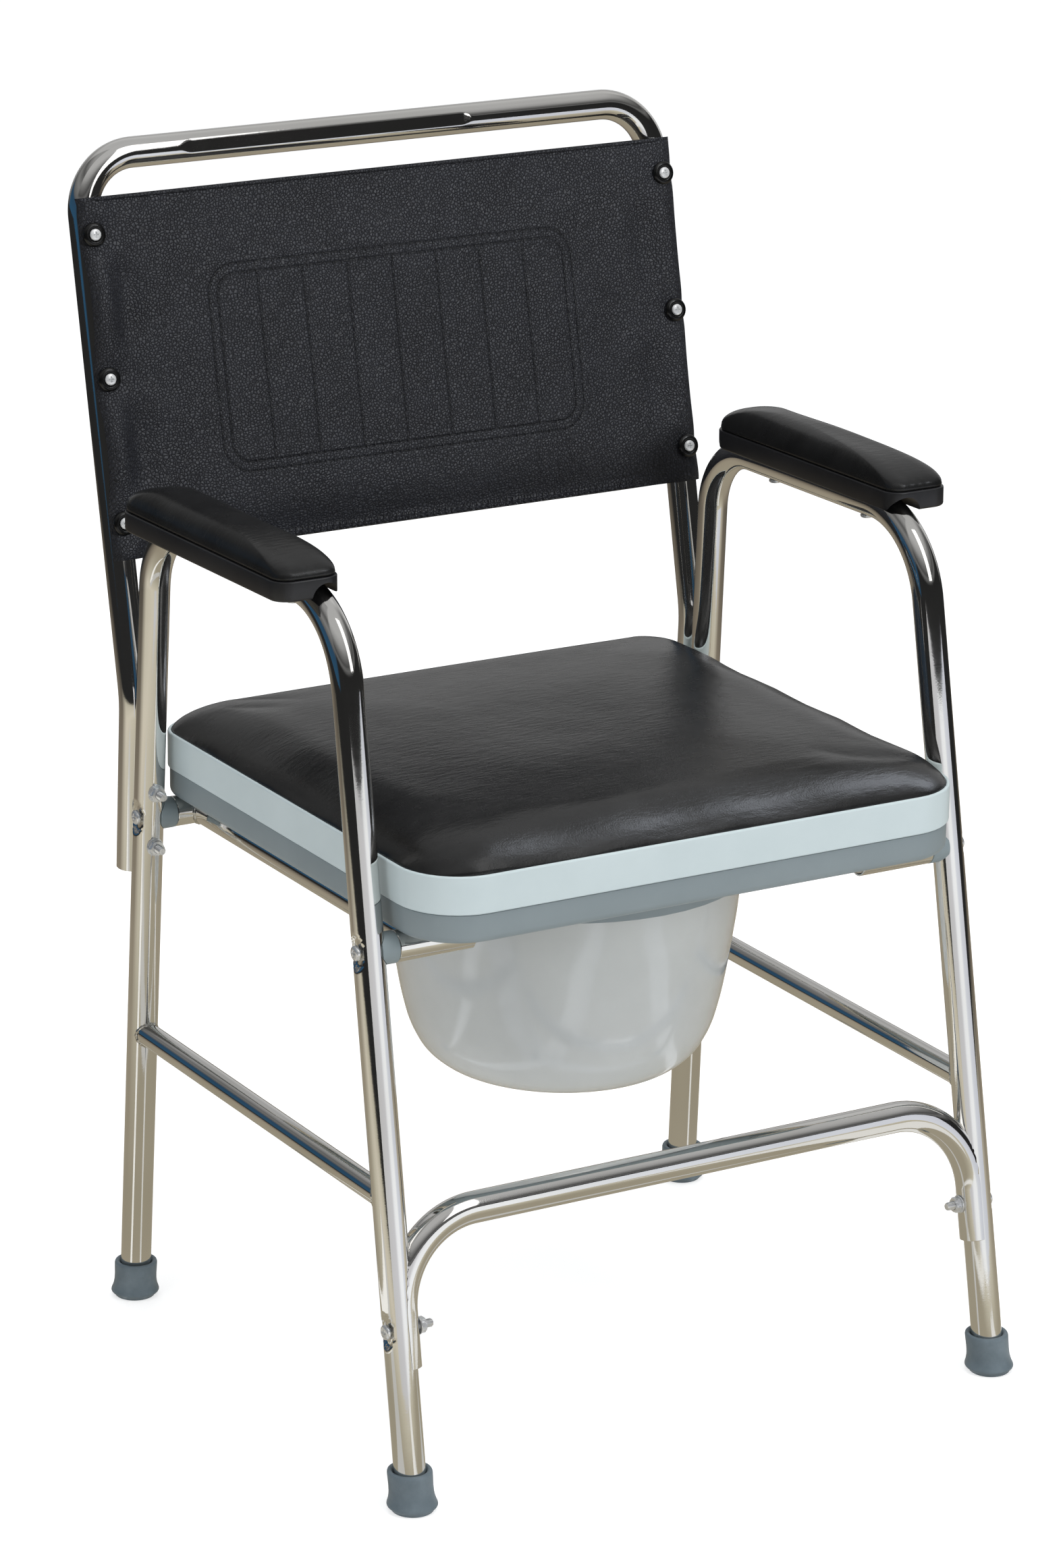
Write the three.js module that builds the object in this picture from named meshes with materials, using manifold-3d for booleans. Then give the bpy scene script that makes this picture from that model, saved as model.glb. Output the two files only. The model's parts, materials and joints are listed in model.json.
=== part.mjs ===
// Commode chair: chromed tube frame, reclined leatherette back, padded armrests,
// commode seat with a pail hung in its aperture, and a padded seat that lifts off.
// Millimetres. +X is to the right of a person facing the chair, the front faces -Y, +Z is up.
// The origin is on the floor, under the middle of the chair's bounding box.

import * as THREE from "three";
import { mergeVertices } from "three/addons/utils/BufferGeometryUtils.js";
import Module from "manifold-3d";

const wasm = await Module();
wasm.setup();

// ---------------------------------------------------------------- driving dimensions
const GAP = 0.3; // clearance between touching pieces
const TUBE_R = 11.1; // 22.2 mm steel tube
const TUBE_WALL = 1.2;
const TUBE_SIDES = 16;
const BORE_SIDES = 12;
const BEND_STEP = 0.27; // radians of bend between two sections of a tube

// Side frames: two legs and an arm rail in one bent tube, leaning inwards as they rise.
const LEG_X_FLOOR = 239.1;
const LEG_LEAN = 0.01; // inward run per millimetre of height
const FRONT_LEG_Y = -246.6; // where the front leg's axis meets the floor
const FRONT_LEG_RAKE = 0.19; // backward run per millimetre of height
const REAR_LEG_Y = 173.4;
const REAR_LEG_RAKE = -0.056;
const LEG_START = 7; // the tube ends this far above the floor, inside its foot
const ARM_FRONT_Z = 609;
const ARM_REAR_Z = 603;
const ARM_FRONT_BEND_R = 68;
const ARM_REAR_BEND_R = 54;
const STRETCHER_Z = 212;
const STRETCHER_R = 8.6; // the side stretchers are of thinner tube

// Feet
const FOOT_TOP = 28;
const FOOT_BODY_R = 15.7;
const FOOT_FLARE_R = 17.7;
const FOOT_SOLE = 4.4; // rubber below the end of the leg

// Back frame: upright part behind the rear legs, then reclined.
const BACK_X = 236.5;
const BACK_FOOT_Z = 334;
const BACK_BEND_Z = 462;
const BACK_RECLINE = Math.atan(0.217);
const BACK_TOP_S = 388; // distance from the bend to the top bar's axis
const BACK_BEND_R = 42;
const BACK_SPACING = 2 * TUBE_R + 0.4; // from rear leg axis to back frame axis
const BACK_BOLT_ZS = [400, 359];

// Back panel: a leatherette sheet across the fronts of the two reclined tubes
const PANEL_BOTTOM_S = 101.3;
const PANEL_TOP_S = 359.4;
const PANEL_THICK = 2.4;
const PANEL_SCREW_SS = [127.7, 230.4, 333];
const PANEL_WRAP = 0.83; // radians that each side edge curls round its tube

// Front stretcher: inverted U in the plane of the front legs, its ends saddled on the legs
const U_TOP = 198.5; // along the leg plane
const U_END = 98.7;
const U_BEND_R = 62;
const U_SADDLE = 3.3; // from leg axis to the axis of the U's end
const U_BOLT_Z = 123.5;

// Seat frame
const SEAT_TUBE_Z = 380;
const RAIL_X = 193;
const STUB_END_X = 158;
const PLUG_LENGTH = 8;
const SPIGOT_LENGTH = 14;
const SPIGOT_CLEARANCE = 0.6;
const RAIL_NOTCH = 4; // from a cross tube's axis to the end of a rail before it is notched

// Commode seat, padded seat and pail
const SEAT_HALF_X = 219;
const SEAT_FRONT_Y = -229;
const SEAT_REAR_Y = 176;
const SEAT_FRONT_CORNER_R = 46;
const SEAT_REAR_CORNER_R = 30;
const TRAY_BOTTOM_Z = 391.5;
const TRAY_TOP_Z = 412.8;
const SHELL_TOP_Z = 440.3;
const CUSHION_SEAT_Z = 436;
const CUSHION_TOP_Z = 466;
const TRAY_INSET = 1.5; // from the padded seat's side to the tray's
const TRAY_ROUND = 6;
const SHELL_RIM = 2.2;
const CUSHION_INSET = 2.8;
const MOULDED_WALL = 3;
const DECK_INSET = 20;
const APERTURE_Y = -35;
const APERTURE_R = 133;
const COLLAR_BOTTOM_Z = 364;
const PAIL_BOTTOM_Z = 216;
const FLANGE_R = 141;
const FLANGE_THICK = 3;
const FLANGE_DROP = 0.7; // from the top of the flange to the top of the tray
const PAIL_WALL = 2.5;

// Armrests
const PAD_X = 245.5;
const PAD_HALF_WIDTH = 25;
const PAD_FRONT_Y = -112.4;
const PAD_REAR_Y = 131.2;
const BASE_LOW = 1.5; // heights above the arm rail's axis
const BASE_HIGH = 15.5;
const PAD_HEIGHT = 20;
const PAD_INSET = 1.5;
const PAD_CROWN_SHIFT = 45; // the pad is highest behind its middle and tapers to the front
const PAD_FRONT_CORNER_R = 13;
const PAD_REAR_CORNER_R = 22;
const ARM_SCREW_YS = [-62, 58];
const ARM_SCREW_COVER = 3.5; // plastic left above the tip of an arm screw

// Fasteners
const BOLT_R = 3;
const BOLT_HOLE_R = 3.4;
const BOLT_HEAD_R = 5.4;
const BOLT_HEAD_H = 3.4;
const NUT_R = 5.8;
const NUT_H = 5;
const SCREW_R = 2.1;
const SCREW_HOLE_R = 2.5;
const SCREW_HEAD_R = 4.4;
const SCREW_HEAD_H = 2.4;
const PANEL_SCREW_LENGTH = 14;
const SEAT_BOLT_LENGTH = 37;
const BACK_BOLT_TAIL = 7; // thread beyond a nut
const STRETCHER_BOLT_TAIL = 6;
const WASHER_R = 7.9;
const WASHER_H = 2.4;
const DIMPLE_SEAT = 8.4; // from a leg's axis to the flat that a bolt head sinks to
const DIMPLE_R = 6.2;
const DIMPLE_WALL = 1.2;

// ---------------------------------------------------------------- materials
const finish = (color, roughness, metalness) =>
  new THREE.MeshStandardMaterial({ color, roughness, metalness });
const chrome = finish(0xc8c6c0, 0.08, 1);
const zinc = finish(0xb9bec2, 0.3, 1);
const rubber = finish(0x66757d, 0.7, 0);
const plugPlastic = finish(0xa9b6bb, 0.5, 0);
const blackPlastic = finish(0x17181a, 0.45, 0);
const vinyl = finish(0x1c1d20, 0.4, 0);
const leatherette = finish(0x26282c, 0.5, 0);
const trayPlastic = finish(0x85929a, 0.4, 0);
const shellPlastic = finish(0xc8d4d6, 0.4, 0);
const pailPlastic = finish(0xa8b0b0, 0.25, 0);

// ---------------------------------------------------------------- solids
// A closed geometry as a manifold solid.
function solid(geometry) {
  const bare = geometry.index ? geometry.toNonIndexed() : geometry.clone();
  bare.deleteAttribute("normal");
  bare.deleteAttribute("uv");
  const merged = mergeVertices(bare, 1e-3);
  return new wasm.Manifold(
    new wasm.Mesh({
      numProp: 3,
      vertProperties: merged.attributes.position.array,
      triVerts: new Uint32Array(merged.index.array),
    }),
  );
}

// A manifold solid as a geometry.
function geometryOf(body) {
  const mesh = body.getMesh();
  const geometry = new THREE.BufferGeometry();
  geometry.setAttribute("position", new THREE.BufferAttribute(mesh.vertProperties, 3));
  geometry.setIndex(new THREE.BufferAttribute(mesh.triVerts, 1));
  return geometry;
}

// A box between two corners.
function block(low, high) {
  const box = new THREE.Box3(new THREE.Vector3(...low), new THREE.Vector3(...high));
  const size = box.getSize(new THREE.Vector3());
  const geometry = new THREE.BoxGeometry(size.x, size.y, size.z);
  return solid(geometry.translate(...box.getCenter(new THREE.Vector3()).toArray()));
}

// Turns a geometry made along +Z so that it starts at a point and runs along a direction.
function along(geometry, from, direction) {
  const turn = new THREE.Quaternion().setFromUnitVectors(
    new THREE.Vector3(0, 0, 1),
    direction.clone().normalize(),
  );
  return geometry.applyQuaternion(turn).translate(from.x, from.y, from.z);
}

// A cylinder from one point to another.
function rod(from, to, radius, sides = 12) {
  const direction = to.clone().sub(from);
  const geometry = new THREE.CylinderGeometry(radius, radius, direction.length(), sides);
  geometry.rotateX(Math.PI / 2).translate(0, 0, direction.length() / 2);
  return solid(along(geometry, from, direction));
}

// A solid of revolution about +Z from [radius, height] points that start and end on the axis.
function turned(profile, segments) {
  const points = profile.map(([r, z]) => new THREE.Vector2(r, z));
  return new THREE.LatheGeometry(points, segments).rotateX(Math.PI / 2);
}

// ---------------------------------------------------------------- tubes
// A path of straight runs and round bends, sampled only where it turns.
class BentPath extends THREE.Curve {
  constructor(corners, radii) {
    super();
    this.points = [];
    this.tangents = [];
    corners.forEach((corner, i) => {
      const before = corners[i - 1];
      const after = corners[i + 1];
      const into = (before ? corner.clone().sub(before) : after.clone().sub(corner)).normalize();
      const out = (after ? after.clone().sub(corner) : into.clone()).normalize();
      if (before && after) this.addBend(corner, into, out, radii[i - 1]);
      else this.addStation(corner.clone(), into);
    });
  }

  addStation(point, tangent) {
    this.points.push(point);
    this.tangents.push(tangent);
  }

  addBend(corner, into, out, radius) {
    const angle = into.angleTo(out);
    const steps = Math.ceil(angle / BEND_STEP);
    const start = corner.clone().addScaledVector(into, -radius * Math.tan(angle / 2));
    const inward = out.clone().addScaledVector(into, -out.dot(into)).normalize();
    for (let i = 0; i <= steps; i++) {
      const turn = (angle * i) / steps;
      const point = start.clone();
      point.addScaledVector(into, radius * Math.sin(turn));
      point.addScaledVector(inward, radius * (1 - Math.cos(turn)));
      const tangent = into.clone().multiplyScalar(Math.cos(turn));
      this.addStation(point, tangent.addScaledVector(inward, Math.sin(turn)));
    }
  }

  get steps() {
    return this.points.length - 1;
  }

  at(list, u) {
    const place = Math.min(u * this.steps, this.steps);
    const i = Math.min(Math.floor(place), this.steps - 1);
    return list[i].clone().lerp(list[i + 1], place - i);
  }

  getPointAt(u) {
    return this.at(this.points, u);
  }

  getTangentAt(u) {
    return this.at(this.tangents, u).normalize();
  }
}

const circle = (radius, sides) =>
  Array.from({ length: sides }, (_, i) => {
    const angle = (2 * Math.PI * i) / sides;
    return new THREE.Vector2(radius * Math.cos(angle), radius * Math.sin(angle));
  });

// A round bar along a path, hollow when it has a bore.
function pipe(path, radius, bore = 0) {
  const section = new THREE.Shape(circle(radius, TUBE_SIDES));
  if (bore) section.holes.push(new THREE.Path(circle(bore, BORE_SIDES)));
  return solid(new THREE.ExtrudeGeometry(section, { steps: path.steps, extrudePath: path }));
}

const BORE_R = TUBE_R - TUBE_WALL;
const tube = (path, radius = TUBE_R) => pipe(path, radius, radius - TUBE_WALL);
const straight = (from, to) => new BentPath([from, to], []);

// ---------------------------------------------------------------- where things are
const vec = (x, y, z) => new THREE.Vector3(x, y, z);
const legX = (z) => LEG_X_FLOOR - LEG_LEAN * z;
const frontLegAt = (side, z) => vec(side * legX(z), FRONT_LEG_Y + FRONT_LEG_RAKE * z, z);
const rearLegAt = (side, z) => vec(side * legX(z), REAR_LEG_Y + REAR_LEG_RAKE * z, z);
const ARM_RISE = Math.atan(
  (ARM_REAR_Z - ARM_FRONT_Z) / (rearLegAt(1, ARM_REAR_Z).y - frontLegAt(1, ARM_FRONT_Z).y),
);
const armZ = (y) => ARM_REAR_Z + (y - rearLegAt(1, ARM_REAR_Z).y) * Math.tan(ARM_RISE);
const ARM_X = legX(ARM_FRONT_Z);
const backY = (z) => REAR_LEG_Y + REAR_LEG_RAKE * z + BACK_SPACING;

// The reclined part of the back: x across, y out of the panel's back, z up the tubes.
function reclined(geometry) {
  return geometry.rotateX(-BACK_RECLINE).translate(0, backY(BACK_BEND_Z), BACK_BEND_Z);
}

const root = new THREE.Group();

function add(name, body, material) {
  const mesh = new THREE.Mesh(body.isBufferGeometry ? body : geometryOf(body), material);
  mesh.name = name;
  root.add(mesh);
}

const SIDES = [
  ["left", -1],
  ["right", 1],
];

// ---------------------------------------------------------------- fasteners
// A domed bolt head on a shank that runs back along -Z from the head's seat at the origin.
function boltProfile(shank, headR, headH, shankR) {
  return [
    [0, -shank],
    [shankR, -shank],
    [shankR, 0],
    [headR, 0],
    [headR * 0.92, headH * 0.55],
    [headR * 0.5, headH],
    [0, headH],
  ];
}

function bolt(seat, outward, shank) {
  return along(turned(boltProfile(shank, BOLT_HEAD_R, BOLT_HEAD_H, BOLT_R), 10), seat, outward);
}

function nut(seat, outward) {
  const section = new THREE.Shape(circle(NUT_R, 6));
  section.holes.push(new THREE.Path(circle(BOLT_R + GAP, 10)));
  const geometry = new THREE.ExtrudeGeometry(section, { depth: NUT_H, bevelEnabled: false });
  return along(geometry, seat, outward);
}

// ---------------------------------------------------------------- side frames
function sideFramePath(side) {
  return new BentPath(
    [
      frontLegAt(side, LEG_START),
      frontLegAt(side, ARM_FRONT_Z),
      rearLegAt(side, ARM_REAR_Z),
      rearLegAt(side, LEG_START),
    ],
    [ARM_FRONT_BEND_R, ARM_REAR_BEND_R],
  );
}

// A drill through a point, long enough to cross a leg and what is bolted to it.
function drill(point, direction, radius, reach = 40) {
  const from = point.clone().addScaledVector(direction, -reach);
  const to = point.clone().addScaledVector(direction, reach);
  return rod(from, to, radius, 8);
}

const ACROSS = vec(1, 0, 0);
const ALONG = vec(0, 1, 0);
const UP = vec(0, 0, 1);

const sideBolts = (side) => [
  frontLegAt(side, SEAT_TUBE_Z),
  rearLegAt(side, SEAT_TUBE_Z),
  frontLegAt(side, U_BOLT_Z),
];

// A round disc in the outer side of a leg, between two distances from the leg's axis.
const outerDisc = (point, side, near, far, radius) => {
  const at = (distance) => vec(point.x + side * distance, point.y, point.z);
  return rod(at(near), at(far), radius, 16);
};

// The dented wall round a sunk bolt head.
const dimpleCup = (point, side) =>
  outerDisc(point, side, DIMPLE_SEAT - DIMPLE_WALL, TUBE_R, DIMPLE_R + DIMPLE_WALL);

function boltHoles(side) {
  return [
    ...sideBolts(side).map((point) => outerDisc(point, side, DIMPLE_SEAT, 2 * TUBE_R, DIMPLE_R)),
    ...sideBolts(side).map((point) => drill(point, ACROSS, BOLT_HOLE_R)),
    ...BACK_BOLT_ZS.map((z) => drill(rearLegAt(side, z), ALONG, BOLT_HOLE_R)),
    ...ARM_SCREW_YS.map((y) => drill(vec(side * ARM_X, y, armZ(y)), UP, SCREW_HOLE_R, 20)),
  ];
}

const cut = (body, tools) => tools.reduce((left, tool) => left.subtract(tool), body);

function sideFrame(side) {
  const full = pipe(sideFramePath(side), TUBE_R);
  const cups = sideBolts(side).map((point) => dimpleCup(point, side).intersect(full));
  const dented = cups.reduce((frame, cup) => frame.add(cup), tube(sideFramePath(side)));
  return cut(dented, boltHoles(side));
}

for (const [word, side] of SIDES) {
  add(`side_frame_${word}`, sideFrame(side), chrome);
  const legs = pipe(sideFramePath(side), TUBE_R + GAP);
  const rail = straight(frontLegAt(side, STRETCHER_Z), rearLegAt(side, STRETCHER_Z));
  const inset = straight(rail.getPointAt(0.01), rail.getPointAt(0.99));
  add(`side_stretcher_${word}`, tube(inset, STRETCHER_R).subtract(legs), chrome);
}

// ---------------------------------------------------------------- feet
// A ferrule that stands level on the floor and slants with the leg above it.
function foot(base, slant) {
  const hole = TUBE_R + 1.2 * GAP;
  const profile = [
    [0, 0],
    [FOOT_FLARE_R - 2.5, 0],
    [FOOT_FLARE_R - 2.5, 2.2],
    [FOOT_FLARE_R, 3.4],
    [FOOT_FLARE_R - 0.9, 7],
    [FOOT_BODY_R - 0.4, 13],
    [FOOT_BODY_R, FOOT_TOP - 2],
    [FOOT_BODY_R - 1, FOOT_TOP],
    [hole, FOOT_TOP],
    [hole, FOOT_SOLE],
    [0, FOOT_SOLE],
  ];
  const shear = new THREE.Matrix4();
  shear.set(1, 0, slant.x, base.x, 0, 1, slant.y, base.y, 0, 0, 1, 0, 0, 0, 0, 1);
  return turned(profile, 20).applyMatrix4(shear);
}

for (const [word, side] of SIDES) {
  for (const [end, at] of [
    ["front", frontLegAt],
    ["rear", rearLegAt],
  ]) {
    add(`foot_${end}_${word}`, foot(at(side, 0), at(side, 1).sub(at(side, 0))), rubber);
  }
}

// ---------------------------------------------------------------- back frame
const panelUp = vec(0, Math.sin(BACK_RECLINE), Math.cos(BACK_RECLINE));
const panelOut = vec(0, -Math.cos(BACK_RECLINE), Math.sin(BACK_RECLINE));
const backBend = (side) => vec(side * BACK_X, backY(BACK_BEND_Z), BACK_BEND_Z);
const backTubeAt = (side, s) => backBend(side).addScaledVector(panelUp, s);

function backFramePath() {
  const end = (side) => vec(side * BACK_X, backY(BACK_FOOT_Z), BACK_FOOT_Z);
  const top = (side) => backTubeAt(side, BACK_TOP_S);
  const corners = [end(-1), backBend(-1), top(-1), top(1), backBend(1), end(1)];
  return new BentPath(corners, [2 * BACK_BEND_R, BACK_BEND_R, BACK_BEND_R, 2 * BACK_BEND_R]);
}

const panelScrews = SIDES.flatMap(([word, side]) =>
  PANEL_SCREW_SS.map((s, i) => ({
    name: `${word}_${["lower", "middle", "upper"][i]}`,
    axis: backTubeAt(side, s),
  })),
);
const panelDrills = panelScrews.map(({ axis }) =>
  rod(axis, axis.clone().addScaledVector(panelOut, 2 * PANEL_SCREW_LENGTH), SCREW_HOLE_R, 8),
);

const backHoles = SIDES.flatMap(([, side]) =>
  BACK_BOLT_ZS.map((z) => drill(rearLegAt(side, z), ALONG, BOLT_HOLE_R, 50)),
);
add("back_frame", cut(tube(backFramePath()), [...backHoles, ...panelDrills]), chrome);

// ---------------------------------------------------------------- back panel
// The sheet's section: straight across in front, each end curled round the outside of a tube.
function panelSection() {
  const inner = TUBE_R + GAP;
  const outer = inner + PANEL_THICK;
  const front = -Math.PI / 2;
  const section = new THREE.Shape();
  section.absarc(BACK_X, 0, outer, front, front + PANEL_WRAP, false);
  section.absarc(BACK_X, 0, inner, front + PANEL_WRAP, front, true);
  section.absarc(-BACK_X, 0, inner, front, front - PANEL_WRAP, true);
  section.absarc(-BACK_X, 0, outer, front - PANEL_WRAP, front, false);
  section.closePath();
  return section;
}

function backPanel() {
  const depth = PANEL_TOP_S - PANEL_BOTTOM_S;
  const geometry = new THREE.ExtrudeGeometry(panelSection(), {
    depth,
    bevelEnabled: false,
    curveSegments: 4,
  });
  return solid(reclined(geometry.translate(0, 0, PANEL_BOTTOM_S)));
}

add("back_panel", cut(backPanel(), panelDrills), leatherette);

const WASHER_SEAT = TUBE_R + 2 * GAP + PANEL_THICK;
for (const { name, axis } of panelScrews) {
  const washer = turned(
    [
      [SCREW_HOLE_R, 0],
      [WASHER_R, 0],
      [WASHER_R - 0.6, WASHER_H * 0.6],
      [WASHER_R - 2.2, WASHER_H],
      [SCREW_HOLE_R, WASHER_H],
      [SCREW_HOLE_R, 0],
    ],
    12,
  );
  const seat = axis.clone().addScaledVector(panelOut, WASHER_SEAT);
  add(`back_washer_${name}`, along(washer, seat, panelOut), blackPlastic);
  const head = axis.clone().addScaledVector(panelOut, WASHER_SEAT + WASHER_H + GAP);
  const profile = boltProfile(PANEL_SCREW_LENGTH, SCREW_HEAD_R, SCREW_HEAD_H, SCREW_R);
  add(`back_screw_${name}`, along(turned(profile, 8), head, panelOut), zinc);
}

// ---------------------------------------------------------------- bolts of the back frame
for (const [word, side] of SIDES) {
  BACK_BOLT_ZS.forEach((z, i) => {
    const leg = rearLegAt(side, z);
    const level = ["upper", "lower"][i];
    const behind = leg.clone().setY(leg.y + BACK_SPACING + TUBE_R + GAP);
    const tip = leg.y - TUBE_R - NUT_H - BACK_BOLT_TAIL;
    add(`back_bolt_${word}_${level}`, bolt(behind, ALONG, behind.y - tip), zinc);
    const front = leg.clone().setY(leg.y - TUBE_R - GAP);
    add(`back_nut_${word}_${level}`, nut(front, vec(0, -1, 0)), zinc);
  });
}

// ---------------------------------------------------------------- front stretcher
function stretcherPath() {
  const alpha = Math.atan(FRONT_LEG_RAKE);
  const place = (side, x, w) =>
    vec(side * x, FRONT_LEG_Y + w * Math.sin(alpha), w * Math.cos(alpha));
  const x = legX(U_TOP * Math.cos(alpha)) - U_SADDLE;
  const splay = LEG_LEAN * (U_TOP - U_END);
  return [
    place(-1, x + splay, U_END),
    place(-1, x, U_TOP),
    place(1, x, U_TOP),
    place(1, x + splay, U_END),
  ];
}

add(
  "front_stretcher",
  cut(tube(new BentPath(stretcherPath(), [U_BEND_R, U_BEND_R])), [
    ...SIDES.map(([, side]) => pipe(sideFramePath(side), TUBE_R + GAP)),
    ...SIDES.map(([, side]) => drill(frontLegAt(side, U_BOLT_Z), ACROSS, BOLT_HOLE_R)),
  ]),
  chrome,
);

for (const [word, side] of SIDES) {
  const leg = frontLegAt(side, U_BOLT_Z);
  const outer = leg.clone().setX(leg.x + side * (DIMPLE_SEAT + GAP));
  const inner = leg.clone().setX(side * (legX(U_BOLT_Z) - TUBE_R - U_SADDLE - GAP));
  const tip = inner.clone().setX(inner.x - side * (NUT_H + STRETCHER_BOLT_TAIL));
  add(`stretcher_bolt_${word}`, bolt(outer, vec(side, 0, 0), outer.distanceTo(tip)), zinc);
  add(`stretcher_nut_${word}`, nut(inner, vec(-side, 0, 0)), zinc);
}

// ---------------------------------------------------------------- seat frame
const PLUG_FACE = legX(SEAT_TUBE_Z) - TUBE_R - PLUG_LENGTH;
const frontY = frontLegAt(1, SEAT_TUBE_Z).y;
const rearY = rearLegAt(1, SEAT_TUBE_Z).y;

function crossTube(fromX, toX, y) {
  return tube(straight(vec(fromX, y, SEAT_TUBE_Z), vec(toX, y, SEAT_TUBE_Z)));
}

// A plastic saddle: a disc cut to the leg, with a spigot in the cross tube and a bolt hole.
function saddle(side, y) {
  const face = vec(side * (PLUG_FACE + GAP), y, SEAT_TUBE_Z);
  const disc = rod(face, vec(side * legX(SEAT_TUBE_Z), y, SEAT_TUBE_Z), TUBE_R, TUBE_SIDES);
  const inside = vec(side * (PLUG_FACE - SPIGOT_LENGTH), y, SEAT_TUBE_Z);
  const spigot = rod(inside, face, BORE_R - SPIGOT_CLEARANCE, BORE_SIDES);
  return cut(disc.add(spigot), [
    pipe(sideFramePath(side), TUBE_R + GAP),
    drill(face, ACROSS, BOLT_HOLE_R),
  ]);
}

add("rear_cross_tube", crossTube(-PLUG_FACE, PLUG_FACE, rearY), chrome);
for (const [word, side] of SIDES) {
  add(`front_stub_${word}`, crossTube(side * PLUG_FACE, side * STUB_END_X, frontY), chrome);
  const railAt = (y) => vec(side * RAIL_X, y, SEAT_TUBE_Z);
  const rail = tube(straight(railAt(frontY + RAIL_NOTCH), railAt(rearY - RAIL_NOTCH)));
  const ends = [frontY, rearY].map((y) =>
    rod(vec(-PLUG_FACE, y, SEAT_TUBE_Z), vec(PLUG_FACE, y, SEAT_TUBE_Z), TUBE_R + GAP, 24),
  );
  add(`seat_rail_${word}`, cut(rail, ends), chrome);
  for (const [end, y] of [
    ["front", frontY],
    ["rear", rearY],
  ]) {
    add(`tube_plug_${end}_${word}`, saddle(side, y), plugPlastic);
    const seat = vec(side * (legX(SEAT_TUBE_Z) + DIMPLE_SEAT + GAP), y, SEAT_TUBE_Z);
    add(`seat_bolt_${end}_${word}`, bolt(seat, vec(side, 0, 0), SEAT_BOLT_LENGTH), zinc);
  }
}

// ---------------------------------------------------------------- rounded plan outlines
// A rectangle with its own radius at the front and at the rear corners.
function roundedPlan(halfX, low, high, lowR, highR, inset = 0) {
  const [x, y0, y1] = [halfX - inset, low + inset, high - inset];
  const [rf, rr] = [lowR - inset, highR - inset];
  const plan = new THREE.Shape();
  plan.absarc(x - rf, y0 + rf, rf, -Math.PI / 2, 0, false);
  plan.absarc(x - rr, y1 - rr, rr, 0, Math.PI / 2, false);
  plan.absarc(-x + rr, y1 - rr, rr, Math.PI / 2, Math.PI, false);
  plan.absarc(-x + rf, y0 + rf, rf, Math.PI, (3 * Math.PI) / 2, false);
  plan.closePath();
  return plan;
}

// A plan extruded between two heights, with an optional rounding at its lower edge.
const PLAN_SEGMENTS = 4;

function slab(plan, low, high, round = 0) {
  const geometry = new THREE.ExtrudeGeometry(plan, {
    depth: high - low - round,
    curveSegments: PLAN_SEGMENTS,
    bevelEnabled: round > 0,
    bevelThickness: round,
    bevelSize: round,
    bevelOffset: -round,
    bevelSegments: 3,
  });
  const body = solid(geometry.translate(0, 0, low + round));
  const far = 1000;
  return round ? body.subtract(block([-far, -far, high], [far, far, high + far])) : body;
}

// A pillow: the plan drawn smaller about its crown as it rises, by [scale, height] rings.
// The crown stands over the plan's middle, or further back by crownShift.
function pillow(plan, rings, crownShift = 0) {
  const outline = plan.getPoints(PLAN_SEGMENTS).slice(0, -1);
  const crown = new THREE.Box2().setFromPoints(outline).getCenter(new THREE.Vector2());
  crown.y += crownShift;
  const ringPoints = ([scale, z]) =>
    outline.map((point) => {
      const { x, y } = crown.clone().lerp(point, scale);
      return [x, y, z];
    });
  const loops = rings.map(ringPoints);
  const corners = [];
  const count = outline.length;
  for (let k = 0; k + 1 < loops.length; k++) {
    for (let i = 0; i < count; i++) {
      const [a, b] = [loops[k][i], loops[k][(i + 1) % count]];
      const [c, d] = [loops[k + 1][i], loops[k + 1][(i + 1) % count]];
      if (rings[k][0] > 0) corners.push(a, b, d);
      if (rings[k + 1][0] > 0) corners.push(a, d, c);
    }
  }
  const geometry = new THREE.BufferGeometry();
  return geometry.setAttribute("position", new THREE.Float32BufferAttribute(corners.flat(), 3));
}

const seatPlan = (inset = 0) =>
  roundedPlan(
    SEAT_HALF_X,
    SEAT_FRONT_Y,
    SEAT_REAR_Y,
    SEAT_FRONT_CORNER_R,
    SEAT_REAR_CORNER_R,
    inset,
  );
const apertureRod = (low, high, radius, sides = 32) =>
  rod(vec(0, APERTURE_Y, low), vec(0, APERTURE_Y, high), radius, sides);

// ---------------------------------------------------------------- commode seat
function commodeSeat() {
  const skin = slab(seatPlan(TRAY_INSET), TRAY_BOTTOM_Z, TRAY_TOP_Z, TRAY_ROUND);
  const inside = seatPlan(TRAY_INSET + MOULDED_WALL);
  const hollow = slab(inside, TRAY_BOTTOM_Z - 20, TRAY_TOP_Z - MOULDED_WALL);
  const collar = apertureRod(COLLAR_BOTTOM_Z, TRAY_TOP_Z - 1, APERTURE_R + MOULDED_WALL);
  const deck = slab(seatPlan(DECK_INSET), TRAY_BOTTOM_Z, TRAY_TOP_Z - 0.5);
  return skin
    .subtract(hollow)
    .add(deck)
    .add(collar)
    .subtract(apertureRod(COLLAR_BOTTOM_Z - 1, TRAY_TOP_Z + 1, APERTURE_R))
    .subtract(apertureRod(TRAY_TOP_Z - 4, TRAY_TOP_Z + 1, FLANGE_R + 1));
}

add("commode_seat", commodeSeat(), trayPlastic);

// ---------------------------------------------------------------- padded seat
function seatShell() {
  const low = TRAY_TOP_Z + GAP;
  return slab(seatPlan(), low, SHELL_TOP_Z)
    .subtract(slab(seatPlan(MOULDED_WALL), low - 10, CUSHION_SEAT_Z - MOULDED_WALL - GAP))
    .subtract(slab(seatPlan(SHELL_RIM), CUSHION_SEAT_Z - GAP, SHELL_TOP_Z + 10));
}

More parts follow.
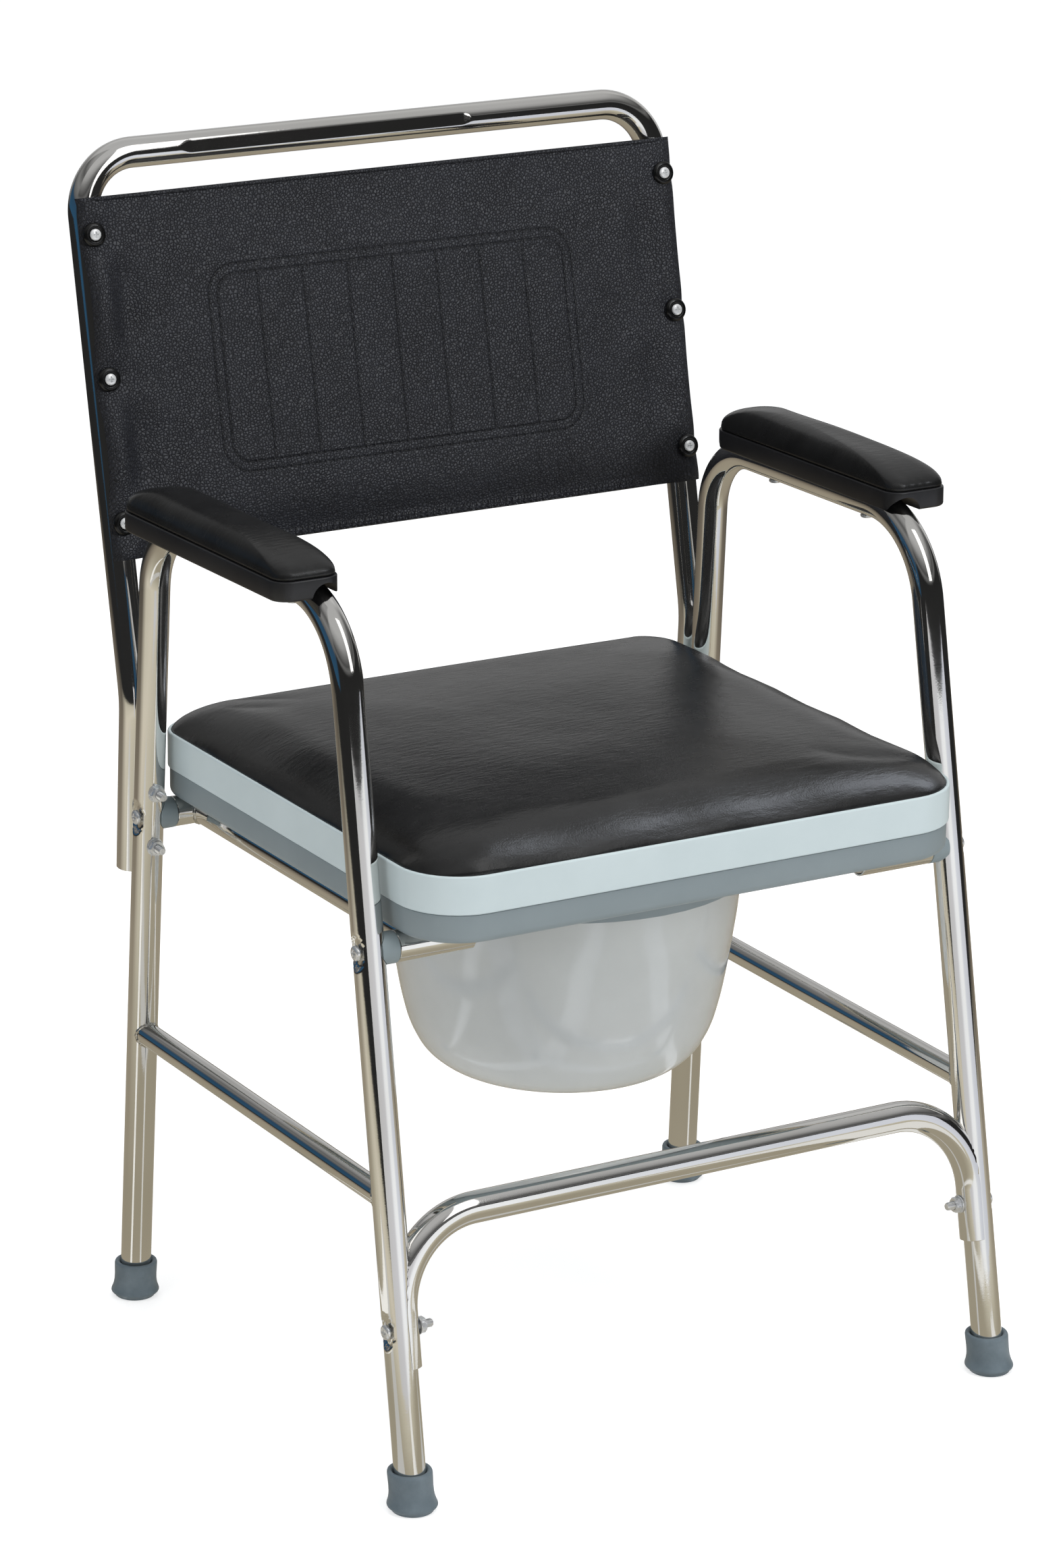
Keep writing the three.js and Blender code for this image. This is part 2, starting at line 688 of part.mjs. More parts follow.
add("seat_shell", seatShell(), shellPlastic);
add(
  "seat_cushion",
  pillow(seatPlan(CUSHION_INSET), [
    [0, CUSHION_SEAT_Z],
    [1, CUSHION_SEAT_Z],
    [1, SHELL_TOP_Z],
    [0.97, SHELL_TOP_Z + 6],
    [0.84, CUSHION_TOP_Z - 5],
    [0.6, CUSHION_TOP_Z - 1],
    [0, CUSHION_TOP_Z],
  ]),
  vinyl,
);

// ---------------------------------------------------------------- pail
function pail() {
  const wall = PAIL_WALL;
  const height = TRAY_TOP_Z - FLANGE_DROP - FLANGE_THICK - PAIL_BOTTOM_Z;
  // Radii and heights up the outside of the bowl.
  const outer = [
    [70, 0],
    [88, 4],
    [102, 15],
    [112, 36],
    [118, 64],
    [126, 122],
    [130, height],
  ];
  const inner = outer.map(([r, z], i) => [r - wall, i ? z + wall / 2 : z + wall]).reverse();
  inner[0] = [outer.at(-1)[0] - wall, height + FLANGE_THICK];
  const profile = [
    [0, 0],
    ...outer,
    [FLANGE_R, height],
    [FLANGE_R, height + FLANGE_THICK],
    ...inner,
    [0, wall],
  ];
  return turned(profile, 32).translate(0, APERTURE_Y, PAIL_BOTTOM_Z);
}

add("pail", pail(), pailPlastic);

// ---------------------------------------------------------------- armrests
// Armrest pieces are made level about the rail's axis height, then tipped with the arm rail.
function tipped(geometry, side) {
  return geometry.rotateX(ARM_RISE).translate(side * PAD_X, 0, armZ(0));
}

const padPlan = (inset) =>
  roundedPlan(
    PAD_HALF_WIDTH,
    PAD_FRONT_Y,
    PAD_REAR_Y,
    PAD_FRONT_CORNER_R,
    PAD_REAR_CORNER_R,
    inset,
  );

for (const [word, side] of SIDES) {
  const frame = pipe(sideFramePath(side), TUBE_R + GAP);
  const base = solid(tipped(geometryOf(slab(padPlan(0), BASE_LOW, BASE_HIGH)), side));
  const drills = ARM_SCREW_YS.map((y) => {
    const at = vec(side * ARM_X, y, armZ(y));
    return rod(at, at.clone().addScaledVector(UP, BASE_HIGH - 2), SCREW_HOLE_R, 8);
  });
  add(`arm_base_${word}`, cut(base.subtract(frame), drills), blackPlastic);
  const seatHeight = BASE_HIGH + GAP;
  const padRings = [
    [0, 0],
    [1, 0],
    [1, 0.16],
    [0.94, 0.44],
    [0.8, 0.7],
    [0.55, 0.9],
    [0, 1],
  ].map(([scale, share]) => [scale, seatHeight + share * PAD_HEIGHT]);
  const pad = pillow(padPlan(PAD_INSET), padRings, PAD_CROWN_SHIFT);
  add(`arm_pad_${word}`, tipped(pad, side), vinyl);
  ARM_SCREW_YS.forEach((y, i) => {
    const below = vec(side * ARM_X, y, armZ(y) - TUBE_R - GAP);
    const shank = TUBE_R + GAP + BASE_HIGH - ARM_SCREW_COVER;
    const profile = boltProfile(shank, SCREW_HEAD_R, SCREW_HEAD_H, SCREW_R);
    const screw = along(turned(profile, 8), below, vec(0, 0, -1));
    add(`arm_screw_${word}_${["front", "rear"][i]}`, screw, zinc);
  });
}

export default root;
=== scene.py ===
# Looks of the commode chair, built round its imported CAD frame. Metres, +Z up, the front faces -Y.
import json
import math

import bpy
import numpy as np
from mathutils import Matrix, Vector

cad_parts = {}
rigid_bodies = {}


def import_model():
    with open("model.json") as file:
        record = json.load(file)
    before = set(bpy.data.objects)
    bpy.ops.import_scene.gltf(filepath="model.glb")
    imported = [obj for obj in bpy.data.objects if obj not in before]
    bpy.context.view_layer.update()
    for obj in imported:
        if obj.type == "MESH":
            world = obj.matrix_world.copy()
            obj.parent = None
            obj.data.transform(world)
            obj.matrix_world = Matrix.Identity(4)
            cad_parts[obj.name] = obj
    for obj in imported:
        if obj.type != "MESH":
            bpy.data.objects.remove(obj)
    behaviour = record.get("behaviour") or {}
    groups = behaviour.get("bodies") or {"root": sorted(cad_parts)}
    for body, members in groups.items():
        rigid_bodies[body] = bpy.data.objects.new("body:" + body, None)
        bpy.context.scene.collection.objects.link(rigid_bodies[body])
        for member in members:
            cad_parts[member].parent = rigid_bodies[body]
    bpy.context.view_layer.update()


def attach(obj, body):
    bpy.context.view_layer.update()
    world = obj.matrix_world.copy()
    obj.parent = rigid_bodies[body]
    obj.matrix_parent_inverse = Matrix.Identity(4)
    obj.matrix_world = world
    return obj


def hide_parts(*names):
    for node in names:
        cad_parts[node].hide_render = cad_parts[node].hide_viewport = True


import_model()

# ------------------------------------------------------------------ driving dimensions
TUBE_R = 0.0111
TUBE_WALL = 0.0012
STRETCHER_R = 0.0086
BEND_STEP = math.radians(3.5)
SIDES = (("left", -1), ("right", 1))
ENDS = ("front", "rear")
UP = np.array([0.0, 0.0, 1.0])
ACROSS = np.array([1.0, 0.0, 0.0])
ALONG = np.array([0.0, 1.0, 0.0])

LEG_X_FLOOR = 0.2391
LEG_LEAN = 0.01
LEG_START = 0.007
LEG_Y = {"front": -0.2466, "rear": 0.1734}
LEG_RAKE = {"front": 0.19, "rear": -0.056}
ARM_Z = {"front": 0.609, "rear": 0.603}
ARM_BEND_R = {"front": 0.068, "rear": 0.054}
STRETCHER_Z = 0.212

BACK_X = 0.2365
BACK_FOOT_Z = 0.334
BACK_BEND_Z = 0.462
BACK_RECLINE = math.atan(0.217)
BACK_TOP_S = 0.388
BACK_BEND_R = 0.042
GRIP_LOW_X, GRIP_HIGH_X = -0.161, 0.081  # the stretch of the top bar that is pressed slightly flat
BACK_SPACING = 2 * TUBE_R + 0.0004
BACK_BOLT_ZS = {"upper": 0.400, "lower": 0.359}

PANEL_BOTTOM_S = 0.1013
PANEL_TOP_S = 0.3594
PANEL_THICK = 0.0024
PANEL_WRAP = 0.83  # radians that each side edge curls round its tube
PANEL_SCREW_SS = {"lower": 0.1277, "middle": 0.2304, "upper": 0.333}

U_TOP = 0.1985
U_END = 0.0987
U_BEND_R = 0.062
U_SADDLE = 0.0033
U_BOLT_Z = 0.1235

SEAT_TUBE_Z = 0.380
RAIL_X = 0.193
STUB_END_X = 0.158
PLUG_LENGTH = 0.008
SINK = 0.0087  # from a leg's axis to the seat of a sunk bolt head
BOLT_R = 0.003
BOLT_HEAD_R, BOLT_HEAD_H = 0.0054, 0.0034
SEAT_BOLT_LENGTH = 0.037
STRETCHER_BOLT_LENGTH = 0.0345
BACK_BOLT_LENGTH = 0.0575


def vec(*xyz):
    return np.array(xyz, float)


def unit(v):
    return v / np.linalg.norm(v)


def smooth(t):
    t = np.clip(t, 0, 1)
    return t * t * (3 - 2 * t)


def leg_at(end, side, z):
    return vec(side * (LEG_X_FLOOR - LEG_LEAN * z), LEG_Y[end] + LEG_RAKE[end] * z, z)


def back_y(z):
    return leg_at("rear", 1, z)[1] + BACK_SPACING


PANEL_UP = vec(0, math.sin(BACK_RECLINE), math.cos(BACK_RECLINE))
PANEL_OUT = vec(0, -math.cos(BACK_RECLINE), math.sin(BACK_RECLINE))


def back_at(x, s, out=0.0):
    """A point of the reclined back: across, up the tubes from their bend, and forward of their axes."""
    return vec(x, back_y(BACK_BEND_Z), BACK_BEND_Z) + s * PANEL_UP + out * PANEL_OUT


# ------------------------------------------------------------------ node materials
class Tree:
    """Builds a node tree with short calls: a value that is a socket is linked, any other is set."""

    def __init__(self, tree):
        self.tree = tree

    def put(self, socket, value):
        if isinstance(value, bpy.types.NodeSocket):
            self.tree.links.new(value, socket)
        else:
            socket.default_value = value

    def add(self, kind, inputs=None, **settings):
        made = self.tree.nodes.new(kind)
        for key, value in settings.items():
            setattr(made, key, value)
        for key, value in (inputs or {}).items():
            self.put(made.inputs[key], value)
        return made

    def maths(self, operation, a, b=0.0, c=0.0, clamp=False):
        return self.add("ShaderNodeMath", {0: a, 1: b, 2: c}, operation=operation, use_clamp=clamp).outputs[0]

    def ramp(self, fac, *stops):
        """Colours between (position, colour) stops; a colour is a tuple, or one number for a grey."""
        made = self.add("ShaderNodeValToRGB", {"Fac": fac})
        elements = made.color_ramp.elements
        while len(elements) < len(stops):
            elements.new(0.5)
        for element, (position, color) in zip(elements, stops):
            element.position = position
            element.color = (*color, 1) if isinstance(color, tuple) else (color, color, color, 1)
        return made.outputs["Color"]


class Nodes(Tree):
    """A surface material and its node tree."""

    def __init__(self, name, **shader):
        self.material = bpy.data.materials.new(name)
        self.material.use_nodes = True
        super().__init__(self.material.node_tree)
        self.shader = self.tree.nodes["Principled BSDF"]
        for socket, value in shader.items():
            self.shader.inputs[socket.replace("_", " ")].default_value = value
        self.place = self.add("ShaderNodeTexCoord").outputs["Object"]

    def noise(self, scale, detail=3.0, rough=0.5):
        inputs = {"Vector": self.place, "Scale": scale, "Detail": detail, "Roughness": rough}
        return self.add("ShaderNodeTexNoise", inputs).outputs["Fac"]

    def cells(self, scale, feature="F1"):
        inputs = {"Vector": self.place, "Scale": scale}
        return self.add("ShaderNodeTexVoronoi", inputs, feature=feature).outputs["Distance"]

    def spread(self, fac, low, high):
        inputs = {"Value": fac, "To Min": low, "To Max": high}
        return self.add("ShaderNodeMapRange", inputs).outputs["Result"]

    def color(self, value):
        self.put(self.shader.inputs["Base Color"], value)

    def rough(self, fac, low, high):
        self.put(self.shader.inputs["Roughness"], self.spread(fac, low, high))

    def bump(self, height, distance, strength=1.0):
        before = self.shader.inputs["Normal"].links
        inputs = {"Height": height, "Distance": distance, "Strength": strength}
        if before:
            inputs["Normal"] = before[0].from_socket
        self.put(self.shader.inputs["Normal"], self.add("ShaderNodeBump", inputs).outputs["Normal"])


def chrome_material():
    n = Nodes("chrome", Metallic=1.0)
    n.color(n.ramp(n.noise(9, 2), (0.3, (0.80, 0.79, 0.76)), (0.7, (0.88, 0.87, 0.85))))
    n.rough(n.noise(55, 5, 0.7), 0.03, 0.10)
    n.bump(n.noise(38, 2), 0.0006, 0.10)
    n.bump(n.noise(900, 3), 0.00003, 0.25)
    return n.material


def weld_material():
    n = Nodes("weld_bead", Metallic=1.0)
    n.color(n.ramp(n.noise(500, 4), (0.3, (0.52, 0.50, 0.46)), (0.7, (0.80, 0.79, 0.76))))
    n.rough(n.noise(700, 3), 0.12, 0.32)
    n.bump(n.noise(900, 3), 0.0004, 0.5)
    return n.material


def zinc_material(name, metal):
    n = Nodes(name, Metallic=metal)
    n.color(n.ramp(n.noise(300, 4), (0.3, (0.66, 0.67, 0.68)), (0.7, (0.90, 0.91, 0.91))))
    n.rough(n.noise(800, 4), 0.16, 0.30)
    n.bump(n.noise(1500, 3), 0.00008, 0.5)
    return n.material


def rubber_material():
    n = Nodes("rubber", Specular_IOR_Level=0.5)
    n.color(n.ramp(n.noise(60, 5, 0.6), (0.25, (0.090, 0.120, 0.140)), (0.75, (0.150, 0.190, 0.215))))
    n.rough(n.noise(220, 4), 0.32, 0.52)
    n.bump(n.noise(1400, 3), 0.0001, 0.4)
    return n.material


def plastic_material(name, dark, light, low, high, grain):
    n = Nodes(name)
    n.color(n.ramp(n.noise(14, 4, 0.6), (0.3, dark), (0.7, light)))
    n.rough(n.noise(34, 3), low, high)
    n.bump(n.noise(2200, 2), grain, 0.3)
    n.bump(n.noise(22, 2), 0.0006, 0.12)
    return n.material


def pail_material():
    n = Nodes(
        "pail",
        Subsurface_Weight=0.55,
        Subsurface_Scale=0.02,
        Specular_IOR_Level=0.8,
        Coat_Weight=1.0,
        Coat_Roughness=0.07,
    )
    n.shader.inputs["Subsurface Radius"].default_value = (1.0, 1.0, 0.95)
    n.color(n.ramp(n.noise(8, 4, 0.6), (0.3, (0.55, 0.585, 0.58)), (0.7, (0.63, 0.665, 0.66))))
    n.rough(n.noise(90, 4), 0.10, 0.20)
    n.bump(n.noise(26, 2), 0.0010, 0.25)
    return n.material


def vinyl_material(name, specular, pores):
    """Smooth satin vinyl: fine pores and drawn wrinkles over very soft unevenness."""
    n = Nodes(name, Specular_IOR_Level=specular)
    n.color(n.ramp(n.noise(30, 5, 0.6), (0.3, (0.006, 0.006, 0.006)), (0.7, (0.012, 0.012, 0.012))))
    n.rough(n.noise(70, 4), 0.22, 0.31)
    n.bump(n.noise(26, 3), 0.0012, 0.30)
    drawn = n.add("ShaderNodeMapping", {"Vector": n.place, "Scale": (90, 300, 200)}).outputs["Vector"]
    wrinkles = n.add("ShaderNodeTexNoise", {"Vector": drawn, "Scale": 1.0, "Detail": 4.0}).outputs["Fac"]
    n.bump(wrinkles, 0.0005, 0.5)
    n.bump(n.cells(520, "DISTANCE_TO_EDGE"), pores, 0.45)
    n.bump(n.noise(1700, 2), pores / 2, 0.40)
    return n.material


def leatherette_material():
    """Pebbled leatherette: rounded grains with creases between them, the colour painted darker in the creases
    as shade.
    """
    n = Nodes("back_leatherette", Specular_IOR_Level=0.36)
    crease = n.maths("POWER", n.cells(430, "DISTANCE_TO_EDGE"), 0.4)
    tone = n.maths("MULTIPLY_ADD", n.noise(24, 5, 0.6), 0.5, 0.0)
    # painted shade: the colour darkens into the creases between the grains and is lighter on their rounded
    # tops
    n.color(n.ramp(n.maths("ADD", tone, crease), (0.35, (0.003, 0.003, 0.004)), (1.0, (0.014, 0.015, 0.019))))
    n.rough(n.noise(60, 4), 0.42, 0.50)
    n.bump(n.noise(30, 3), 0.0012, 0.25)
    n.bump(crease, 0.00060, 1.0)
    n.bump(n.noise(1500, 3), 0.00006, 0.5)
    return n.material


def thread_material():
    n = Nodes("stitch_thread")
    n.color(n.ramp(n.noise(900, 3), (0.3, (0.004, 0.004, 0.004)), (0.7, (0.009, 0.009, 0.010))))
    n.rough(n.noise(1200, 3), 0.45, 0.65)
    n.bump(n.noise(2600, 2), 0.0001, 0.6)
    return n.material


CHROME = chrome_material()
WELD = weld_material()
ZINC = zinc_material("zinc", 0.75)
SCREW = zinc_material("bright_zinc", 0.45)
RUBBER = rubber_material()
PLUG = plastic_material("plug_plastic", (0.19, 0.235, 0.25), (0.23, 0.275, 0.29), 0.32, 0.46, 0.00006)
BLACK = plastic_material("black_plastic", (0.007, 0.007, 0.008), (0.014, 0.014, 0.015), 0.28, 0.42, 0.0001)
WASHER = plastic_material("washer_plastic", (0.002, 0.002, 0.002), (0.004, 0.004, 0.004), 0.16, 0.26, 0.00004)
TRAY = plastic_material("tray_plastic", (0.195, 0.235, 0.250), (0.220, 0.262, 0.277), 0.34, 0.40, 0.00002)
SHELL = plastic_material("shell_plastic", (0.50, 0.580, 0.595), (0.54, 0.620, 0.635), 0.26, 0.34, 0.00004)
PAIL = pail_material()
VINYL = vinyl_material("seat_vinyl", 0.55, 0.00020)
PAD_VINYL = vinyl_material("pad_vinyl", 0.34, 0.00008)
LEATHERETTE = leatherette_material()
THREAD = thread_material()


# ------------------------------------------------------------------ meshes
def placed_in_scene(name, data):
    obj = bpy.data.objects.new(name, data)
    bpy.context.scene.collection.objects.link(obj)
    return obj


def square(half, z):
    """The corners of a level square about the origin."""
    return [(-half, -half, z), (half, -half, z), (half, half, z), (-half, half, z)]


def piece(name, points, faces, material, slot, body="frame", stands_for=(), sharp=40):
    mesh = bpy.data.meshes.new(name)
    mesh.from_pydata([tuple(map(float, p)) for p in points], [], faces)
    mesh.materials.append(material)
    mesh.validate()
    mesh.polygons.foreach_set("use_smooth", [True] * len(mesh.polygons))
    mesh.set_sharp_from_angle(angle=math.radians(sharp))
    obj = placed_in_scene(name, mesh)
    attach(obj, body)
    if stands_for:
        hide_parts(*stands_for)
    return obj


def joined(parts):
    """Several (points, faces) as one."""
    points, faces, offset = [], [], 0
    for part_points, part_faces in parts:
        points.extend(part_points)
        faces.extend(tuple(i + offset for i in face) for face in part_faces)
        offset += len(part_points)
    return points, faces


def skin(rings, close_ends=True, close_rings=False):
    """Rings of equal point count joined by quads, with each end filled by a fan if wanted."""
    count = len(rings[0])
    points = [p for ring in rings for p in ring]
    faces = []
    spans = len(rings) if close_rings else len(rings) - 1
    for k in range(spans):
        a, b = k * count, ((k + 1) % len(rings)) * count
        for i in range(count):
            j = (i + 1) % count
            faces.append((a + i, a + j, b + j, b + i))
    if close_ends and not close_rings:
        for start, ring, flip in ((0, rings[0], True), ((len(rings) - 1) * count, rings[-1], False)):
            centre = len(points)
            points.append(np.mean(ring, axis=0))
            for i in range(count):
                j = (i + 1) % count
                tri = (start + i, start + j, centre)
                faces.append(tri[::-1] if flip else tri)
    return points, faces


def lattice(rows):
    """An open sheet of quads through rows of equal point count."""
    count = len(rows[0])
    points = [p for row in rows for p in row]
    faces = []
    for k in range(len(rows) - 1):
        for i in range(count - 1):
            a = k * count + i
            faces.append((a, a + 1, a + count + 1, a + count))
    return points, faces


def ring_round(centre, side_a, side_b, radius, count):
    angles = np.linspace(0, 2 * math.pi, count, endpoint=False)
    return [centre + radius * (math.cos(t) * side_a + math.sin(t) * side_b) for t in angles]


def sides_of(direction):
    """Two directions square to one, right-handed with it."""
    helper = UP if abs(direction[2]) < 0.9 else ALONG
    a = unit(np.cross(helper, direction))
    return a, np.cross(direction, a)


def turned(profile, seat, axis, count=40):
    """A body of revolution from (radius, height) points, standing on seat along axis."""
    axis = unit(axis)
    a, b = sides_of(axis)
    return skin([ring_round(seat + h * axis, a, b, max(r, 1e-6), count) for r, h in profile])


def rounded_profile(points, radius, steps=4):
    """Softens every inner corner of a (radius, height) profile."""
    soft = [np.array(points[0], float)]
    for before, here, after in zip(points, points[1:], points[2:]):
        before, here, after = (np.array(p, float) for p in (before, here, after))
        reach = min(radius, np.linalg.norm(here - before) / 2.2, np.linalg.norm(after - here) / 2.2)
        start = here + unit(before - here) * reach
        end = here + unit(after - here) * reach
        for t in np.linspace(0, 1, steps + 1):
            soft.append((1 - t) ** 2 * start + 2 * t * (1 - t) * here + t * t * end)
    soft.append(np.array(points[-1], float))
    return soft


# ------------------------------------------------------------------ tubes
def straight_run(start, end):
    length = np.linalg.norm(end - start)
    direction = (end - start) / length
    return length, 0.02, lambda d: (start + d * direction, direction)


def round_run(start, into, inward, radius, angle):
    def at(d):
        t = d / radius
        point = start + radius * (math.sin(t) * into + (1 - math.cos(t)) * inward)
        return point, math.cos(t) * into + math.sin(t) * inward

    return radius * angle, radius * BEND_STEP, at


def bent_path(corners, radii=()):
    """Straight runs joined by round bends at the inner corners."""
    runs = []
    here = corners[0]
    for i, corner in enumerate(corners[1:-1], 1):
        into = unit(corner - corners[i - 1])
        out = unit(corners[i + 1] - corner)
        angle = math.acos(float(np.dot(into, out)))
        reach = radii[i - 1] * math.tan(angle / 2)
        start = corner - into * reach
        runs.append(straight_run(here, start))
        inward = unit(out - into * np.dot(out, into))
        runs.append(round_run(start, into, inward, radii[i - 1], angle))
        here = corner + out * reach
    runs.append(straight_run(here, corners[-1]))
    return runs


def stations(runs, fine_spots=(), fine_reach=0.019, fine_step=0.0013):
    """Points and directions along a path, close together near the fine spots."""
    found = []
    for length, step, at in runs:
        distances = set(np.linspace(0, length, max(2, math.ceil(length / step) + 1))[:-1])
        for spot in fine_spots:
            for d in np.arange(0, length, fine_step):
                if np.linalg.norm(at(d)[0] - spot) < fine_reach:
                    distances.add(float(d))
        found.extend(at(d) for d in sorted(distances))
    found.append(runs[-1][2](runs[-1][0]))
    return found


def tube_mesh(runs, radius=TUBE_R, count=40, fine_spots=(), dents=(), fine_reach=0.019):
    """A hollow-looking tube along a path: its open ends show the wall and a dark bore."""
    found = stations(runs, fine_spots, fine_reach)
    bore = radius - TUBE_WALL
    first, last = found[0], found[-1]
    inside = 0.012
    body = [(p, t, radius) for p, t in found]
    head = [(first[0] + inside * first[1], first[1], bore), (first[0], first[1], bore)]
    head.append((first[0], first[1], radius - 0.0003))
    body[0] = (first[0] + 0.0003 * first[1], first[1], radius)
    tail = [(last[0], last[1], radius - 0.0003), (last[0], last[1], bore)]
    tail.append((last[0] - inside * last[1], last[1], bore))
    body[-1] = (last[0] - 0.0003 * last[1], last[1], radius)
    rings = []
    side = sides_of(first[1])[0]
    for point, tangent, r in head + body + tail:
        side = unit(side - np.dot(side, tangent) * tangent)
        rings.append(ring_round(point, side, np.cross(tangent, side), r, count))
    points, faces = skin(rings)
    points = np.array(points)
    for dent in dents:
        points = dent(points)
    return points, faces


def oval_dent(centre, outward, along, depth=0.0034, half_long=0.0135, half_wide=0.0078):
    """Presses an oval hollow into the side of a tube that faces outward."""
    wide = np.cross(outward, along)

    def press(points):
        offset = points - centre
        a, b, out = offset @ along / half_long, offset @ wide / half_wide, offset @ outward
        share = np.clip(1 - a * a - b * b, 0, 1)
        share = np.where(out > 0, np.minimum(1, 1.9 * share), 0)
        return points - np.outer(depth * share * share * (3 - 2 * share), outward)

    return press


def nested_on(axis_point, axis, inboard, radius):
    """Pushes points that fall inside a leg out to its inboard surface, so the tube saddles it."""
    wide = unit(np.cross(axis, inboard))

    def push(points):
        offset = points - axis_point
        w = offset @ wide
        u = offset @ inboard
        surface = np.sqrt(np.clip(radius**2 - w**2, 0, None))
        near = (np.abs(w) < radius) & (u < surface) & (u > -0.02)
        return points + np.outer(np.where(near, surface - u, 0), inboard)

    return push


def weld_bead(name, axis_point, axis, pipe_point, pipe_axis, pipe_radius, body_radius, bead=0.0015):
    """A bead where a pipe that runs along pipe_axis meets the side of a round tube."""
    a, b = sides_of(pipe_axis)
    count = 72
    line = []
    for t in np.linspace(0, 2 * math.pi, count, endpoint=False):
        start = pipe_point + pipe_radius * (math.cos(t) * a + math.sin(t) * b)
        flat = start - axis_point
        flat = flat - np.dot(flat, axis) * axis
        aim = pipe_axis - np.dot(pipe_axis, axis) * axis
        qa, qb = np.dot(aim, aim), 2 * np.dot(aim, flat)
        qc = np.dot(flat, flat) - body_radius**2
        reach = (-qb - math.sqrt(max(qb * qb - 4 * qa * qc, 0))) / (2 * qa)
        line.append(start + reach * pipe_axis)
    rings = []
    for i, point in enumerate(line):
        tangent = unit(line[(i + 1) % count] - line[i - 1])
        out = unit(point - pipe_point - np.dot(point - pipe_point, pipe_axis) * pipe_axis)
        side = unit(out - np.dot(out, tangent) * tangent)
        size = bead * (1 + 0.16 * math.cos(i * 2 * math.pi * 15 / count))
        rings.append(ring_round(point, side, np.cross(tangent, side), size, 8))
    points, faces = skin(rings, close_rings=True)
    return piece(name, points, faces, WELD, "chrome")


def chrome_tube(node, ending, shape):
    """A (points, faces) tube that stands for a CAD node."""
    piece(f"{node}_{ending}", *shape, CHROME, "chrome", stands_for=[node])


def side_frames():
    for word, side in SIDES:
        corners = [
            leg_at("front", side, LEG_START),
            leg_at("front", side, ARM_Z["front"]),
            leg_at("rear", side, ARM_Z["rear"]),
            leg_at("rear", side, LEG_START),
        ]
        spots = [("front", SEAT_TUBE_Z), ("rear", SEAT_TUBE_Z), ("front", U_BOLT_Z)]
        centres = [leg_at(end, side, z) for end, z in spots]
        axes = [unit(leg_at(end, side, z + 0.1) - leg_at(end, side, z)) for end, z in spots]
        dents = [oval_dent(c, side * ACROSS, a) for c, a in zip(centres, axes)]
        runs = bent_path(corners, [ARM_BEND_R["front"], ARM_BEND_R["rear"]])
        chrome_tube(f"side_frame_{word}", "tube", tube_mesh(runs, fine_spots=centres, dents=dents))


def side_stretchers():
    for word, side in SIDES:
        front = leg_at("front", side, STRETCHER_Z)
        rear = leg_at("rear", side, STRETCHER_Z)
        run = unit(rear - front)
        inset = TUBE_R * 0.8
        runs = bent_path([front + run * inset, rear - run * inset])
        chrome_tube(f"side_stretcher_{word}", "tube", tube_mesh(runs, STRETCHER_R, 36))
        middle = (front + rear) / 2
        for end, at, way in (("front", front, -run), ("rear", rear, run)):
            leg_axis = unit(leg_at(end, side, 0.3) - leg_at(end, side, 0.1))
            weld_bead(f"weld_stretcher_{end}_{word}", at, leg_axis, middle, way, STRETCHER_R, TUBE_R, 0.0012)
        hole = middle + 0.035 * run - UP * STRETCHER_R
        rim = [(0.0, 0.0004), (0.0015, 0.0004), (0.0019, 0.0), (0.0026, -0.0004)]
        points, faces = turned(rim, hole, -UP, 20)
        piece(f"stretcher_vent_{word}", points, faces, BLACK, "chrome")


def pressed_flat(centre, low_x, high_x, facing, depth=0.0010, run_out=0.010):
    """Presses a tube that runs across the chair slightly flat, on the side that faces facing."""

    def press(points):
        offset = points - centre
        out = offset @ facing
        share = smooth((points[:, 0] - low_x) / run_out) * smooth((high_x - points[:, 0]) / run_out)
        level = TUBE_R - depth * share
        return points - np.outer(np.clip(out - level, 0, None), facing)

    return press


def back_frame():
    def end(side):
        return vec(side * BACK_X, back_y(BACK_FOOT_Z), BACK_FOOT_Z)

    corners = [
        end(-1),
        back_at(-BACK_X, 0),
        back_at(-BACK_X, BACK_TOP_S),
        back_at(BACK_X, BACK_TOP_S),
        back_at(BACK_X, 0),
        end(1),
    ]
    bends = [2 * BACK_BEND_R, BACK_BEND_R, BACK_BEND_R, 2 * BACK_BEND_R]
    top = back_at(0, BACK_TOP_S)
    spots = [top + x * ACROSS for x in (GRIP_LOW_X + 0.006, GRIP_HIGH_X - 0.006)]
    flat = pressed_flat(top, GRIP_LOW_X, GRIP_HIGH_X, PANEL_OUT)
    shape = tube_mesh(bent_path(corners, bends), count=64, fine_spots=spots, dents=[flat])
    chrome_tube("back_frame", "tube", shape)


def front_stretcher():
    slant = math.atan(LEG_RAKE["front"])
    lie = vec(0, math.sin(slant), math.cos(slant))
    foot = vec(0, LEG_Y["front"], 0)
    x = LEG_X_FLOOR - LEG_LEAN * U_TOP * math.cos(slant) - U_SADDLE
    splay = LEG_LEAN * (U_TOP - U_END)
    corners = [
        foot - (x + splay) * ACROSS + U_END * lie,
        foot - x * ACROSS + U_TOP * lie,
        foot + x * ACROSS + U_TOP * lie,
        foot + (x + splay) * ACROSS + U_END * lie,
    ]
    dents = []
    spots = []
    for _, side in SIDES:
        low, high = leg_at("front", side, 0.1), leg_at("front", side, 0.2)
        dents.append(nested_on(low, unit(high - low), -side * ACROSS, TUBE_R + 0.0002))
        spots.append(leg_at("front", side, 0.14) - side * ACROSS * U_SADDLE)
    runs = bent_path(corners, [U_BEND_R, U_BEND_R])
    shape = tube_mesh(runs, count=56, fine_spots=spots, dents=dents, fine_reach=0.05)
    chrome_tube("front_stretcher", "tube", shape)


